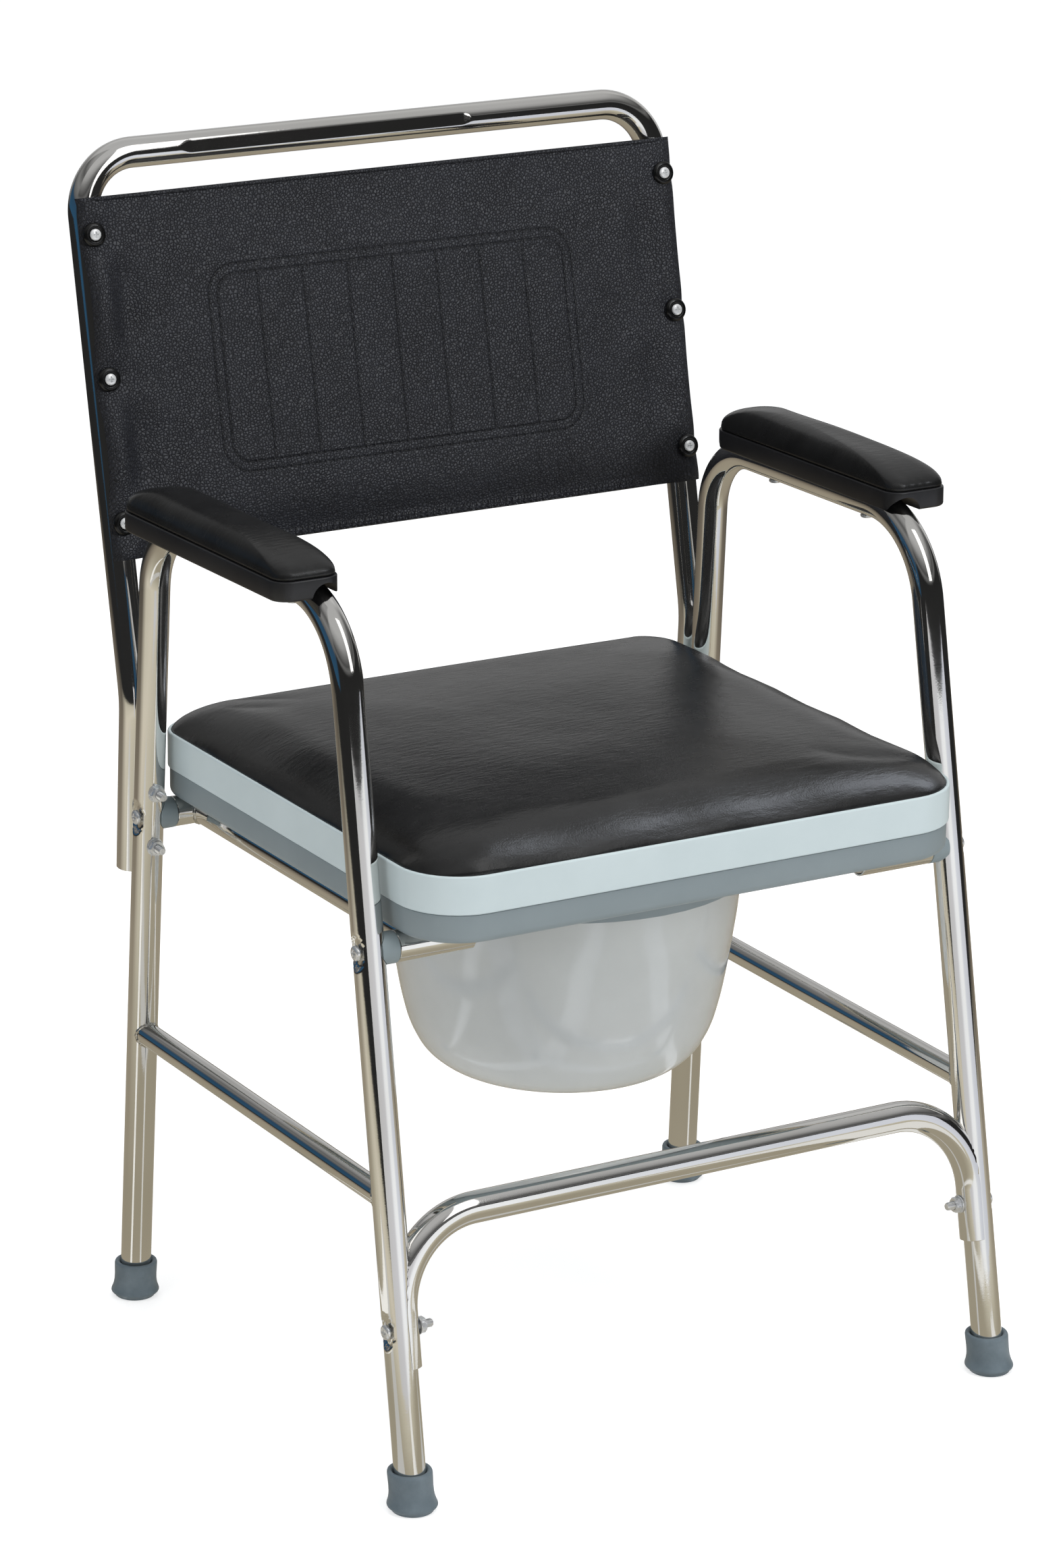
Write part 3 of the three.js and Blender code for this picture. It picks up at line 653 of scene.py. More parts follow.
def seat_tubes():
    front = leg_at("front", 1, SEAT_TUBE_Z)
    rear = leg_at("rear", 1, SEAT_TUBE_Z)
    plug_face = front[0] - TUBE_R - PLUG_LENGTH
    cross = bent_path([vec(-plug_face, *rear[1:]), vec(plug_face, *rear[1:])])
    chrome_tube("rear_cross_tube", "skin", tube_mesh(cross))
    for word, side in SIDES:
        stub = bent_path([vec(side * plug_face, *front[1:]), vec(side * STUB_END_X, *front[1:])])
        chrome_tube(f"front_stub_{word}", "skin", tube_mesh(stub))
        a = vec(side * RAIL_X, front[1] + TUBE_R * 0.7, SEAT_TUBE_Z)
        b = vec(side * RAIL_X, rear[1] - TUBE_R * 0.7, SEAT_TUBE_Z)
        chrome_tube(f"seat_rail_{word}", "skin", tube_mesh(bent_path([a, b])))
        for end, y, way in (("front", front[1], -ALONG), ("rear", rear[1], ALONG)):
            at = vec(0, y, SEAT_TUBE_Z)
            weld_bead(f"weld_rail_{end}_{word}", at, ACROSS, (a + b) / 2, way, TUBE_R * 0.98, TUBE_R)


# ------------------------------------------------------------------ plugs and feet
def plugs():
    """Grey plastic saddles between the seat tubes and the legs."""
    spigot, rim = 0.0095, 0.0113
    outline = [(0, -0.004), (spigot, -0.004), (spigot, 0.0003), (rim, 0.0003), (rim, 0.0140), (0, 0.0140)]
    for end in ENDS:
        for word, side in SIDES:
            leg = leg_at(end, side, SEAT_TUBE_Z)
            face = leg - side * ACROSS * (TUBE_R + PLUG_LENGTH)
            points, faces = turned(rounded_profile(outline, 0.0008), face, side * ACROSS, 40)
            points = np.array(points)
            axis = unit(leg_at(end, side, 0.5) - leg_at(end, side, 0.3))
            wide = unit(np.cross(axis, ACROSS))
            offset = points - leg
            w = offset @ wide
            out = -side * (offset @ ACROSS)
            surface = np.sqrt(np.clip((TUBE_R + 0.0002) ** 2 - w**2, 0, None))
            push = np.where(out < surface, surface - out, 0)
            points = points - np.outer(push * side, ACROSS)
            name = f"tube_plug_{end}_{word}"
            piece(f"{name}_saddle", points, faces, PLUG, "plug_plastic", stands_for=[name])


def feet():
    """Ribbed-edge rubber ferrules: a collar, a waist, a flared rim and a sole."""
    profile = [
        (0.0, 0.0),
        (0.0142, 0.0),
        (0.0150, 0.0008),
        (0.0152, 0.0022),
        (0.0170, 0.0030),
        (0.0177, 0.0040),
        (0.0175, 0.0052),
        (0.0166, 0.0074),
        (0.0159, 0.0100),
        (0.0155, 0.0130),
        (0.0154, 0.0170),
        (0.0156, 0.0225),
        (0.0157, 0.0262),
        (0.0152, 0.0276),
        (0.0142, 0.0280),
        (0.0128, 0.0278),
        (0.0121, 0.0270),
        (0.01145, 0.0262),
        (0.01135, 0.0200),
        (0.0, 0.0200),
    ]
    for end in ENDS:
        for word, side in SIDES:
            base = leg_at(end, side, 0)
            slant = leg_at(end, side, 1) - base
            points, faces = turned(rounded_profile(profile, 0.0009, 3), vec(0, 0, 0), UP, 64)
            points = np.array(points)
            points = vec(base[0], base[1], 0) + points + np.outer(points[:, 2], vec(slant[0], slant[1], 0))
            node = f"foot_{end}_{word}"
            piece(f"{node}_ferrule", points, faces, RUBBER, "rubber", stands_for=[node], sharp=50)


# ------------------------------------------------------------------ fasteners
def cross_head(radius, height, recess=True, count=48):
    """A pan head, base at the origin along +Z, with a cross recess pressed into its top."""
    rings = []
    top = np.linspace(1, 0.02, 15)
    edge = [(0.0, radius * 0.96), (height * 0.12, radius), (height * 0.5, radius * 0.985)]
    for z, r in [(-0.0002, radius * 0.9)] + edge:
        rings.append(ring_round(vec(0, 0, z), ACROSS, ALONG, r, count))
    for share in top:
        r = radius * 0.95 * share
        z = height * (0.62 + 0.38 * math.sqrt(max(0, 1 - share * share)))
        rings.append(ring_round(vec(0, 0, z), ACROSS, ALONG, r, count))
    points, faces = skin(rings)
    points = np.array(points)
    if recess:
        x, y, z = points.T
        arm = radius * 0.13
        long = radius * 0.55
        slot_x = np.clip((arm - np.abs(y)) / (arm * 0.6), 0, 1) * np.clip((long - np.abs(x)) / arm, 0, 1)
        slot_y = np.clip((arm - np.abs(x)) / (arm * 0.6), 0, 1) * np.clip((long - np.abs(y)) / arm, 0, 1)
        sunk = np.maximum(slot_x, slot_y) * (z > height * 0.6)
        points[:, 2] -= sunk * height * 0.55
    return points, faces


def threaded(radius, start, end, pitch=0.001, count=20):
    """A threaded shank along +Z, drawn as a row of ridges, with a bevelled tip."""
    profile = [(0, start), (radius * 0.9, start)]
    z = start
    while z < end - pitch:
        profile += [(radius, z + pitch * 0.4), (radius, z + pitch * 0.5), (radius * 0.86, z + pitch * 0.95)]
        z += pitch
    profile += [(radius * 0.8, end), (0, end)]
    return turned(profile, vec(0, 0, 0), UP, count)


def hex_nut(radius, height, bore=0.003):
    """A six-sided nut with chamfered faces, base at the origin along +Z."""
    count = 48

    def ring(z, chamfer, limit=None):
        found = []
        for t in np.linspace(0, 2 * math.pi, count, endpoint=False):
            flat = radius * math.cos(math.pi / 6) / math.cos((t % (math.pi / 3)) - math.pi / 6)
            r = min(flat, radius - chamfer) if limit is None else limit
            found.append(vec(r * math.cos(t), r * math.sin(t), z))
        return found

    rings = [ring(0.0004, 0, bore), ring(0, 0, bore + 0.0004), ring(0, radius * 0.12), ring(radius * 0.06, 0)]
    rings += [ring(height - radius * 0.06, 0), ring(height, radius * 0.12)]
    rings += [ring(height, 0, bore + 0.0004), ring(height - 0.0004, 0, bore)]
    return skin(rings, close_ends=False)


def placed(part, seat, axis):
    """A (points, faces) made along +Z, stood on seat along axis."""
    points, faces = part
    axis = unit(axis)
    a, b = sides_of(axis)
    turn = np.array([a, b, axis])
    return np.array(points) @ turn + seat, faces


def bolts():
    def bolt_piece(node, seat, outward, shank):
        parts = [placed(cross_head(BOLT_HEAD_R, BOLT_HEAD_H), seat, outward)]
        parts.append(placed(threaded(BOLT_R, 0.0, shank), seat, -unit(outward)))
        points, faces = joined(parts)
        piece(f"{node}_m6", points, faces, ZINC, "zinc", stands_for=[node])

    def nut_piece(node, seat, outward):
        edge = [(0.0031, 0), (0.0064, 0), (0.0066, 0.0003), (0.0064, 0.0007), (0.0031, 0.0007)]
        washer = turned(edge, vec(0, 0, 0), UP, 40)
        nut = hex_nut(0.0058, 0.0045)
        nut = (np.array(nut[0]) + vec(0, 0, 0.0006), nut[1])
        points, faces = placed(joined([washer, nut]), seat, outward)
        piece(f"{node}_m6", points, faces, ZINC, "zinc", stands_for=[node], sharp=30)

    for word, side in SIDES:
        out = side * ACROSS
        for end in ENDS:
            seat = leg_at(end, side, SEAT_TUBE_Z) + out * SINK
            bolt_piece(f"seat_bolt_{end}_{word}", seat, out, SEAT_BOLT_LENGTH)
        leg = leg_at("front", side, U_BOLT_Z)
        nut_seat = leg - out * (TUBE_R + U_SADDLE + 0.0002)
        bolt_piece(f"stretcher_bolt_{word}", leg + out * SINK, out, STRETCHER_BOLT_LENGTH)
        nut_piece(f"stretcher_nut_{word}", nut_seat, -out)
        for level, z in BACK_BOLT_ZS.items():
            leg = leg_at("rear", side, z)
            behind = leg + ALONG * (BACK_SPACING + TUBE_R + 0.0001)
            front = leg - ALONG * (TUBE_R + 0.0001)
            bolt_piece(f"back_bolt_{word}_{level}", behind, ALONG, BACK_BOLT_LENGTH)
            nut_piece(f"back_nut_{word}_{level}", front, -ALONG)


def panel_fasteners():
    """Black cup washers and bright cross-head screws down both sides of the back."""
    cup = [
        (0.0026, 0.0006),
        (0.0026, 0.0),
        (0.0080, 0.0),
        (0.0086, 0.0004),
        (0.0086, 0.0010),
        (0.0078, 0.0019),
        (0.0066, 0.0024),
        (0.0056, 0.0024),
        (0.0050, 0.0018),
        (0.0042, 0.0012),
        (0.0026, 0.0010),
    ]
    seat_out = TUBE_R + PANEL_THICK + 0.0004
    for word, side in SIDES:
        for level, s in PANEL_SCREW_SS.items():
            seat = back_at(side * BACK_X, s, seat_out)
            points, faces = turned(rounded_profile(cup, 0.0004, 3), seat, PANEL_OUT, 56)
            node = f"back_washer_{word}_{level}"
            piece(f"{node}_cup", points, faces, WASHER, "black_plastic", stands_for=[node])
            head = placed(cross_head(0.0042, 0.0025), seat + PANEL_OUT * 0.0015, PANEL_OUT)
            node = f"back_screw_{word}_{level}"
            piece(f"{node}_head", *head, SCREW, "zinc", stands_for=[node])


# ------------------------------------------------------------------ back panel
STITCH_HALF_X = 0.1475
STITCH_MIDDLE_S = (0.1521 + 0.3020) / 2
STITCH_HALF_S = (0.3020 - 0.1521) / 2 - 0.0035
STITCH_CORNER = 0.018
STITCH_OFFSET = 0.0035
STRIP = 0.0368
STITCH_LINES = [i * STRIP for i in range(-3, 4)]
GROOVE = 0.0007


def rounded_box_distance(x, s, half_x, half_s, corner):
    """Distance outside (+) or inside (-) a rounded rectangle about the stitching's middle."""
    dx = np.abs(x) - (half_x - corner)
    ds = np.abs(s - STITCH_MIDDLE_S) - (half_s - corner)
    outside = np.sqrt(np.clip(dx, 0, None) ** 2 + np.clip(ds, 0, None) ** 2)
    return outside + np.minimum(np.maximum(dx, ds), 0) - corner


def screw_nearness(s, reach):
    """1 at the level of a screw and 0 well away from one."""
    return sum(np.exp(-(((s - screw) / reach) ** 2)) for screw in PANEL_SCREW_SS.values())


def panel_relief(x, s):
    """How far the sheet stands forward of flat: rolls between the screws, pulled folds and grooves."""
    edge = rounded_box_distance(x, s, STITCH_HALF_X, STITCH_HALF_S, STITCH_CORNER)
    relief = -0.0014 * smooth((edge + 0.02) / 0.07) * smooth((0.225 - np.abs(x)) / 0.06)
    for line in (-STITCH_OFFSET, STITCH_OFFSET):
        relief -= GROOVE * np.exp(-(((edge - line) / 0.0008) ** 2))
    inside = smooth((-edge - STITCH_OFFSET) / 0.0015)
    for line_x in STITCH_LINES:
        relief -= GROOVE * np.exp(-(((x - line_x) / 0.0008) ** 2)) * inside
    relief += 0.0004 * np.abs(np.sin(np.pi * x / STRIP)) * inside
    for side, slack in ((-1, 1.0), (1, 0.5)):
        inboard = BACK_X - side * x
        between = np.clip(1 - screw_nearness(s, 0.024), 0, 1)
        relief += 0.0050 * slack * between * np.exp(-(((inboard - 0.002) / 0.010) ** 2))
        relief -= 0.0040 * slack * between * np.exp(-(((inboard - 0.022) / 0.010) ** 2))
        reach = smooth((inboard + 0.004) / 0.012) * np.exp(-np.clip(inboard, 0, None) / 0.045)
        for screw in PANEL_SCREW_SS.values():
            ds = s - screw
            far = np.hypot(inboard, ds)
            relief -= 0.0010 * np.exp(-((far / 0.013) ** 2))
            relief -= 0.0013 * slack * reach * np.exp(-((ds / 0.009) ** 2))
            spread = 0.012 + 0.35 * np.clip(inboard, 0, 0.06)
            for way in (-1, 1):
                fold = (ds - way * spread) / (0.006 + 0.12 * np.clip(inboard, 0, 0.06))
                relief += 0.0016 * slack * reach * np.exp(-(fold**2))
    relief += 0.0007 * np.sin(x * 31 + 1.3) * np.sin(s * 23 + 0.4)
    tucked = np.clip((PANEL_BOTTOM_S + 0.036 - s) / 0.036, 0, 1) ** 2
    relief -= 0.0100 * tucked * smooth((BACK_X - np.abs(x)) / 0.045)
    return relief


def panel_stand(x, s):
    """How far the sheet's face stands forward of the tubes' axes; it is held flatter near its ends."""
    near_end = np.exp(-(PANEL_TOP_S - s) / 0.010) + np.exp(-(s - PANEL_BOTTOM_S) / 0.004)
    return TUBE_R + PANEL_THICK + panel_relief(x, s) * (1 - 0.5 * np.minimum(near_end, 1)) - 0.0008 * near_end


def fine_spread(low, high, step, lines, reach=0.0042, fine=0.0007):
    """Values from low to high, closer together near the lines."""
    values = set(np.round(np.arange(low, high + step / 2, step), 5))
    for line in lines:
        values |= set(np.round(np.arange(line - reach, line + reach, fine), 5))
    kept = [low]
    for value in sorted(v for v in values if low < v < high):
        if value - kept[-1] > fine * 0.6:
            kept.append(value)
    kept[-1] = high
    return np.array(kept)


def panel_sheet():
    """Two sewn layers of leatherette drawn across the fronts of the tubes, slack between the screws."""
    steps = (0.018, 0.015, 0.012, 0.009, 0.006, 0.003, 0, -0.0035)  # inwards from the stitching's edge
    corner_x = [STITCH_HALF_X - d for d in steps]
    lines_x = STITCH_LINES + corner_x + [-x for x in corner_x]
    corner_s = [STITCH_HALF_S - d for d in steps]
    lines_s = [STITCH_MIDDLE_S + sign * d for d in corner_s for sign in (-1, 1)]
    across = fine_spread(-BACK_X, BACK_X, 0.0045, lines_x)
    heights = fine_spread(PANEL_BOTTOM_S, PANEL_TOP_S, 0.0045, lines_s)
    outer = TUBE_R + PANEL_THICK
    curl = 10
    rings = []
    for s in heights:
        near_end = math.exp(-(PANEL_TOP_S - s) / 0.010) + math.exp(-(s - PANEL_BOTTOM_S) / 0.012)
        out = panel_stand(across, np.full_like(across, s))
        wrap = PANEL_WRAP - 0.34 * float(np.clip(1 - screw_nearness(s, 0.022), 0, 1)) * (1 - min(near_end, 1))
        ring = [back_at(x, s, o) for x, o in zip(across, out)]
        for side, first in ((-1, out[0]), (1, out[-1])):
            edge = []
            for k in range(1, curl + 1):
                angle = wrap * k / curl
                radius = outer + (first - outer) * (1 - 0.45 * k / curl)
                x = side * (BACK_X + radius * math.sin(angle))
                edge.append(back_at(x, s, radius * math.cos(angle)))
            ring = edge[::-1] + ring if side < 0 else ring + edge
        rings.append(ring)
    points, faces = lattice(rings)
    name, slot = "back_panel_sheet", "back_leatherette"
    sheet = piece(name, points, faces, LEATHERETTE, slot, stands_for=["back_panel"], sharp=60)
    solid = sheet.modifiers.new("cloth_thickness", "SOLIDIFY")
    solid.thickness = 0.0020
    solid.offset = -1
    soften = sheet.modifiers.new("rolled_edge", "BEVEL")
    soften.width = 0.0007
    soften.segments = 2
    soften.limit_method = "ANGLE"
    return sheet


def stitch(middle, direction, out, length=0.0040, radius=0.00042):
    """One stitch: a small spindle lying along direction."""
    rings = []
    for share in np.linspace(-1, 1, 6):
        r = radius * math.sqrt(max(0.06, 1 - share * share))
        centre = middle + share * length / 2 * direction + out * 0.0002 * (1 - share * share)
        rings.append(ring_round(centre, np.cross(direction, out), out, r, 6))
    return skin(rings)


def front_point(x, s, lift=0.0):
    return back_at(x, s, float(panel_stand(np.array([x]), np.array([s]))[0]) + lift)


def outline_walk(half_x, half_s, corner, spacing):
    """Points with their headings, evenly spaced round a rounded rectangle."""
    straight_x, straight_s = 2 * (half_x - corner), 2 * (half_s - corner)
    arc = corner * math.pi / 2
    total = 2 * (straight_x + straight_s) + 4 * arc
    found = []
    for k in range(round(total / spacing)):
        d = k * total / round(total / spacing)
        x, s, heading = -half_x + corner, -half_s, 0.0
        for length in (straight_x, straight_s, straight_x, straight_s):
            step = min(d, length)
            x, s = x + step * math.cos(heading), s + step * math.sin(heading)
            d -= step
            if d <= 0:
                break
            turn = min(d, arc) / corner
            cx, cs = x - corner * math.sin(heading), s + corner * math.cos(heading)
            heading += turn
            x, s = cx + corner * math.sin(heading), cs - corner * math.cos(heading)
            d -= turn * corner
            if d <= 1e-9:
                break
        found.append((x, s + STITCH_MIDDLE_S, heading))
    return found


def panel_stitches():
    """Dashes of thread along every groove, each with a short tick where the needle went in."""
    dashes = []
    pitch = 0.0070

    def sew(x, s, heading):
        forward = math.cos(heading) * ACROSS + math.sin(heading) * PANEL_UP
        across = np.cross(PANEL_OUT, forward)
        at = front_point(x, s, 0.0002)
        dashes.append(stitch(at, forward, PANEL_OUT, 0.0048, 0.00034))
        tick = at + forward * 0.0034 + across * 0.0008 + PANEL_OUT * GROOVE * 0.8
        dashes.append(stitch(tick, across, PANEL_OUT, 0.0028, 0.00036))

    for offset in (-STITCH_OFFSET, STITCH_OFFSET):
        half_x, half_s, corner = (v + offset for v in (STITCH_HALF_X, STITCH_HALF_S, STITCH_CORNER))
        for x, s, heading in outline_walk(half_x, half_s, corner, pitch):
            sew(x, s, heading)
    reach = STITCH_HALF_S - STITCH_OFFSET - pitch / 2
    for x in STITCH_LINES:
        for s in np.arange(STITCH_MIDDLE_S - reach, STITCH_MIDDLE_S + reach, pitch):
            sew(x, s, math.pi / 2)
    points, faces = joined(dashes)
    return piece("back_panel_stitches", points, faces, THREAD, "back_leatherette")


def panel_hems():
    """Folded hems along the top and bottom of the sheet, the bottom one gathered by its overlock seam."""
    parts = []
    for s, low, high, gathered in (
        (PANEL_TOP_S - 0.0016, -BACK_X, BACK_X, False),
        (PANEL_BOTTOM_S + 0.0018, -0.150, 0.196, True),
    ):
        count = 560 if gathered else 90
        rings = []
        for x in np.linspace(low, high, count):
            beat = abs(math.sin(math.pi * x / 0.0052)) if gathered else 0.4
            size = 0.0017 * (0.72 + 0.55 * beat)
            fade = smooth((x - low) / 0.006) * smooth((high - x) / 0.006)
            size *= 0.25 + 0.75 * float(fade)
            centre = front_point(x, s, -0.0002 + 0.0009 * (beat - 0.5) * gathered)
            rings.append(ring_round(centre, PANEL_OUT, PANEL_UP, size, 10))
        parts.append(skin(rings))
    points, faces = joined(parts)
    hem = piece("back_panel_hems", points, faces, LEATHERETTE, "back_leatherette", sharp=80)
    bites = []
    for x in np.arange(-0.148, 0.194, 0.0052):
        direction = unit(0.45 * ACROSS + PANEL_UP)
        middle = front_point(x, PANEL_BOTTOM_S + 0.0045, 0.0002)
        bites.append(stitch(middle, direction, PANEL_OUT, 0.0046, 0.0005))
    points, faces = joined(bites)
    overlock = piece("back_panel_overlock", points, faces, THREAD, "back_leatherette")
    return hem, overlock


# ------------------------------------------------------------------ plans with rounded corners
class Plan:
    """A rectangle seen from above, with one corner radius at its low-Y end and one at its high-Y end."""

    def __init__(self, half_x, low, high, low_r, high_r, middle_x=0.0):
        self.half_x, self.low, self.high = half_x, low, high
        self.low_r, self.high_r, self.middle_x = low_r, high_r, middle_x
        self.middle = vec(middle_x, (low + high) / 2, 0)

    def ring(self, inset, z, corner_steps=10, side_steps=14):
        x = self.half_x - inset
        low, high = self.low + inset, self.high - inset
        rl, rh = max(self.low_r - inset, 0.0015), max(self.high_r - inset, 0.0015)
        corners = [(x - rl, low + rl, rl, -90), (x - rh, high - rh, rh, 0), (-x + rh, high - rh, rh, 90)]
        corners.append((-x + rl, low + rl, rl, 180))
        points = []
        for cx, cy, r, start in corners:
            for k in range(corner_steps + 1):
                t = math.radians(start + 90 * k / corner_steps)
                points.append(vec(self.middle_x + cx + r * math.cos(t), cy + r * math.sin(t), z))
        full = []
        for i, point in enumerate(points):
            full.append(point)
            if i % (corner_steps + 1) == corner_steps:
                after = points[(i + 1) % len(points)]
                full += [point + (after - point) * k / side_steps for k in range(1, side_steps)]
        return full

    def scaled(self, share, z, inset=0.0, crown_shift=0.0):
        flat = vec(self.middle_x, self.middle[1] + crown_shift, z)
        return [flat + (p - flat) * share for p in self.ring(inset, z)]


def round_ring(like, centre, radius, z):
    """A circle with as many points as a plan's ring, matched to it by direction."""
    found = []
    for point in like:
        t = math.atan2(point[1] - centre[1], point[0] - centre[0])
        found.append(vec(centre[0] + radius * math.cos(t), centre[1] + radius * math.sin(t), z))
    return found


SEAT = Plan(0.219, -0.229, 0.176, 0.046, 0.030)
TRAY_BOTTOM_Z = 0.3915
TRAY_TOP_Z = 0.4128
SHELL_TOP_Z = 0.4403
CUSHION_SEAT_Z = 0.436
TRAY_INSET = 0.0015  # from the padded seat's side to the tray's
TRAY_ROUND = 0.006
MOULDED_WALL = 0.003
APERTURE = vec(0, -0.035, 0)
APERTURE_R = 0.133
COLLAR_BOTTOM_Z = 0.364
FLANGE_R = 0.141
PAIL_BOTTOM_Z = 0.216


def commode_seat():
    wall, outer, round_r = MOULDED_WALL, TRAY_INSET, TRAY_ROUND
    rings = [SEAT.ring(outer + wall + 0.014, TRAY_TOP_Z), SEAT.ring(outer + 0.0012, TRAY_TOP_Z)]
    rings.append(SEAT.ring(outer + 0.0002, TRAY_TOP_Z - 0.0006))
    rings.append(SEAT.ring(outer, TRAY_TOP_Z - 0.0016))
    for t in np.linspace(0, math.pi / 2, 8):
        inset = outer + round_r * (1 - math.cos(t))
        rings.append(SEAT.ring(inset, TRAY_BOTTOM_Z + round_r * (1 - math.sin(t))))
    rings.append(SEAT.ring(outer + round_r + wall, TRAY_BOTTOM_Z + 0.0002))
    rings.append(SEAT.ring(outer + round_r + wall + 0.001, TRAY_BOTTOM_Z + 0.004))
    rings.append(SEAT.ring(outer + round_r + 0.012, TRAY_BOTTOM_Z + 0.004))
    like = SEAT.ring(0.02, 0)
    floor = TRAY_BOTTOM_Z + 0.004
    for radius, z in (
        (APERTURE_R + wall + 0.004, floor),
        (APERTURE_R + wall + 0.001, floor - 0.001),
        (APERTURE_R + wall, floor - 0.004),
        (APERTURE_R + wall, COLLAR_BOTTOM_Z + 0.0012),
        (APERTURE_R + wall - 0.0008, COLLAR_BOTTOM_Z),
        (APERTURE_R + 0.0008, COLLAR_BOTTOM_Z),
        (APERTURE_R, COLLAR_BOTTOM_Z + 0.0012),
        (APERTURE_R, TRAY_TOP_Z - 0.005),
        (APERTURE_R + 0.001, TRAY_TOP_Z - 0.004),
        (FLANGE_R + 0.0005, TRAY_TOP_Z - 0.004),
        (FLANGE_R + 0.001, TRAY_TOP_Z - 0.0015),
        (FLANGE_R + 0.0025, TRAY_TOP_Z - 0.0005),
    ):
        rings.append(round_ring(like, APERTURE, radius, z))
    points, faces = skin(rings, close_rings=True)
    piece("commode_seat_moulding", points, faces, TRAY, "tray_plastic", stands_for=["commode_seat"])


def seat_shell():
    low = TRAY_TOP_Z + 0.0003
    wall = MOULDED_WALL
    rings = [SEAT.ring(wall, low + 0.0006), SEAT.ring(wall - 0.0006, low), SEAT.ring(0.0008, low)]
    rings += [SEAT.ring(0.0, low + 0.0008), SEAT.ring(0.0, SHELL_TOP_Z - 0.0016)]
    for t in np.linspace(0, math.pi / 2, 6):
        inset = 0.0016 * (1 - math.cos(t))
        rings.append(SEAT.ring(inset, SHELL_TOP_Z - 0.0016 + 0.0016 * math.sin(t)))
    rings += [SEAT.ring(0.0024, SHELL_TOP_Z - 0.0004), SEAT.ring(0.0027, SHELL_TOP_Z - 0.0012)]
    rings.append(SEAT.ring(0.0028, CUSHION_SEAT_Z - 0.0003))
    top_points, top_faces = skin(rings, close_ends=False)
    deck = CUSHION_SEAT_Z - 0.0003
    under = deck - wall
    lid = skin([SEAT.scaled(share, deck, 0.0028) for share in (1.0, 0.5, 0.02)], close_ends=False)
    inner = [SEAT.scaled(share, under, wall) for share in (1.0, 0.5, 0.02)]
    below = skin([SEAT.ring(wall, low + 0.0006)] + inner)
    flipped = (below[0], [face[::-1] for face in below[1]])
    points, faces = joined([(top_points, top_faces), lid, flipped])
    piece("seat_shell_moulding", points, faces, SHELL, "shell_plastic", "padded_seat", ["seat_shell"])


def cushion_height(share):
    """Height of the padded top over the shell's rim, from the middle (0) to the seam (1)."""
    inset = (1 - share) * 0.21
    along = np.clip(inset / 0.055, 0, 1)
    rise = 0.0215 * (1 - (1 - along) ** 2.4) ** 0.72
    return rise + 0.0042 * smooth(inset / 0.16)


def pressed_outwards(obj, pinned, pressure, frames, cap):
    """Cloth under slight inner pressure, each point moved no more than its cap, applied to the mesh."""
    before = np.array([v.co for v in obj.data.vertices])
    group = obj.vertex_groups.new(name="pinned")
    group.add([int(i) for i in np.nonzero(pinned)[0]], 1.0, "REPLACE")
    cloth = obj.modifiers.new("padding", "CLOTH")
    cloth.settings.vertex_group_mass = "pinned"
    cloth.settings.use_pressure = True
    cloth.settings.uniform_pressure_force = pressure
    cloth.settings.effector_weights.gravity = 0
    cloth.settings.tension_stiffness = 30
    cloth.settings.bending_stiffness = 1.0
    cloth.settings.quality = 6
    scene = bpy.context.scene
    for number in range(1, frames + 1):
        scene.frame_set(number)
    shaped = obj.evaluated_get(bpy.context.evaluated_depsgraph_get())
    after = np.array([v.co for v in shaped.data.vertices])
    obj.modifiers.remove(cloth)
    scene.frame_set(1)
    move = after - before
    length = np.linalg.norm(move, axis=1, keepdims=True)
    move = move * np.minimum(1, cap[:, None] / np.maximum(length, 1e-9))
    obj.data.vertices.foreach_set("co", (before + move).astype(np.float32).ravel())
    obj.data.update()


def seat_cushion():
    seam_inset = 0.0030
    shares = 1 - np.linspace(0, 1, 60) ** 2.0 * 0.985
    rings = [SEAT.ring(seam_inset, CUSHION_SEAT_Z), SEAT.ring(seam_inset - 0.0001, SHELL_TOP_Z - 0.0004)]
    for share in shares:
        rings.append(SEAT.scaled(share, SHELL_TOP_Z + float(cushion_height(share)), seam_inset))
    points, faces = skin(rings)
    points = np.array(points)
    x, y, z = points.T
    top = z > SHELL_TOP_Z + 0.0005
    edge_x = SEAT.half_x - np.abs(x)
    edge_front = y - SEAT.low
    pull = np.exp(-((edge_front / 0.035) ** 2)) * 0.0011 * np.sin(x * 62 + 0.8 * np.sin(x * 17))
    pull += np.exp(-((edge_x / 0.030) ** 2)) * 0.0007 * np.sin(y * 70 + 1.1)
    crease_line = edge_front - 0.034 - 0.010 * np.sin(x * 9 + 0.7)
    pull -= 0.0007 * np.exp(-((crease_line / 0.006) ** 2)) * smooth((x + 0.02) / 0.12)
    points[:, 2] += np.where(top, pull, 0)
    cushion = piece(
        "seat_cushion_vinyl", points, faces, VINYL, "seat_vinyl", "padded_seat", ["seat_cushion"], sharp=70
    )
    pinned = points[:, 2] < SHELL_TOP_Z + 0.0004
    from_middle = np.hypot(x, y - (SEAT.low + SEAT.high) / 2)
    pressed_outwards(cushion, pinned, 0.5, 12, 0.0012 * smooth((from_middle - 0.02) / 0.10))


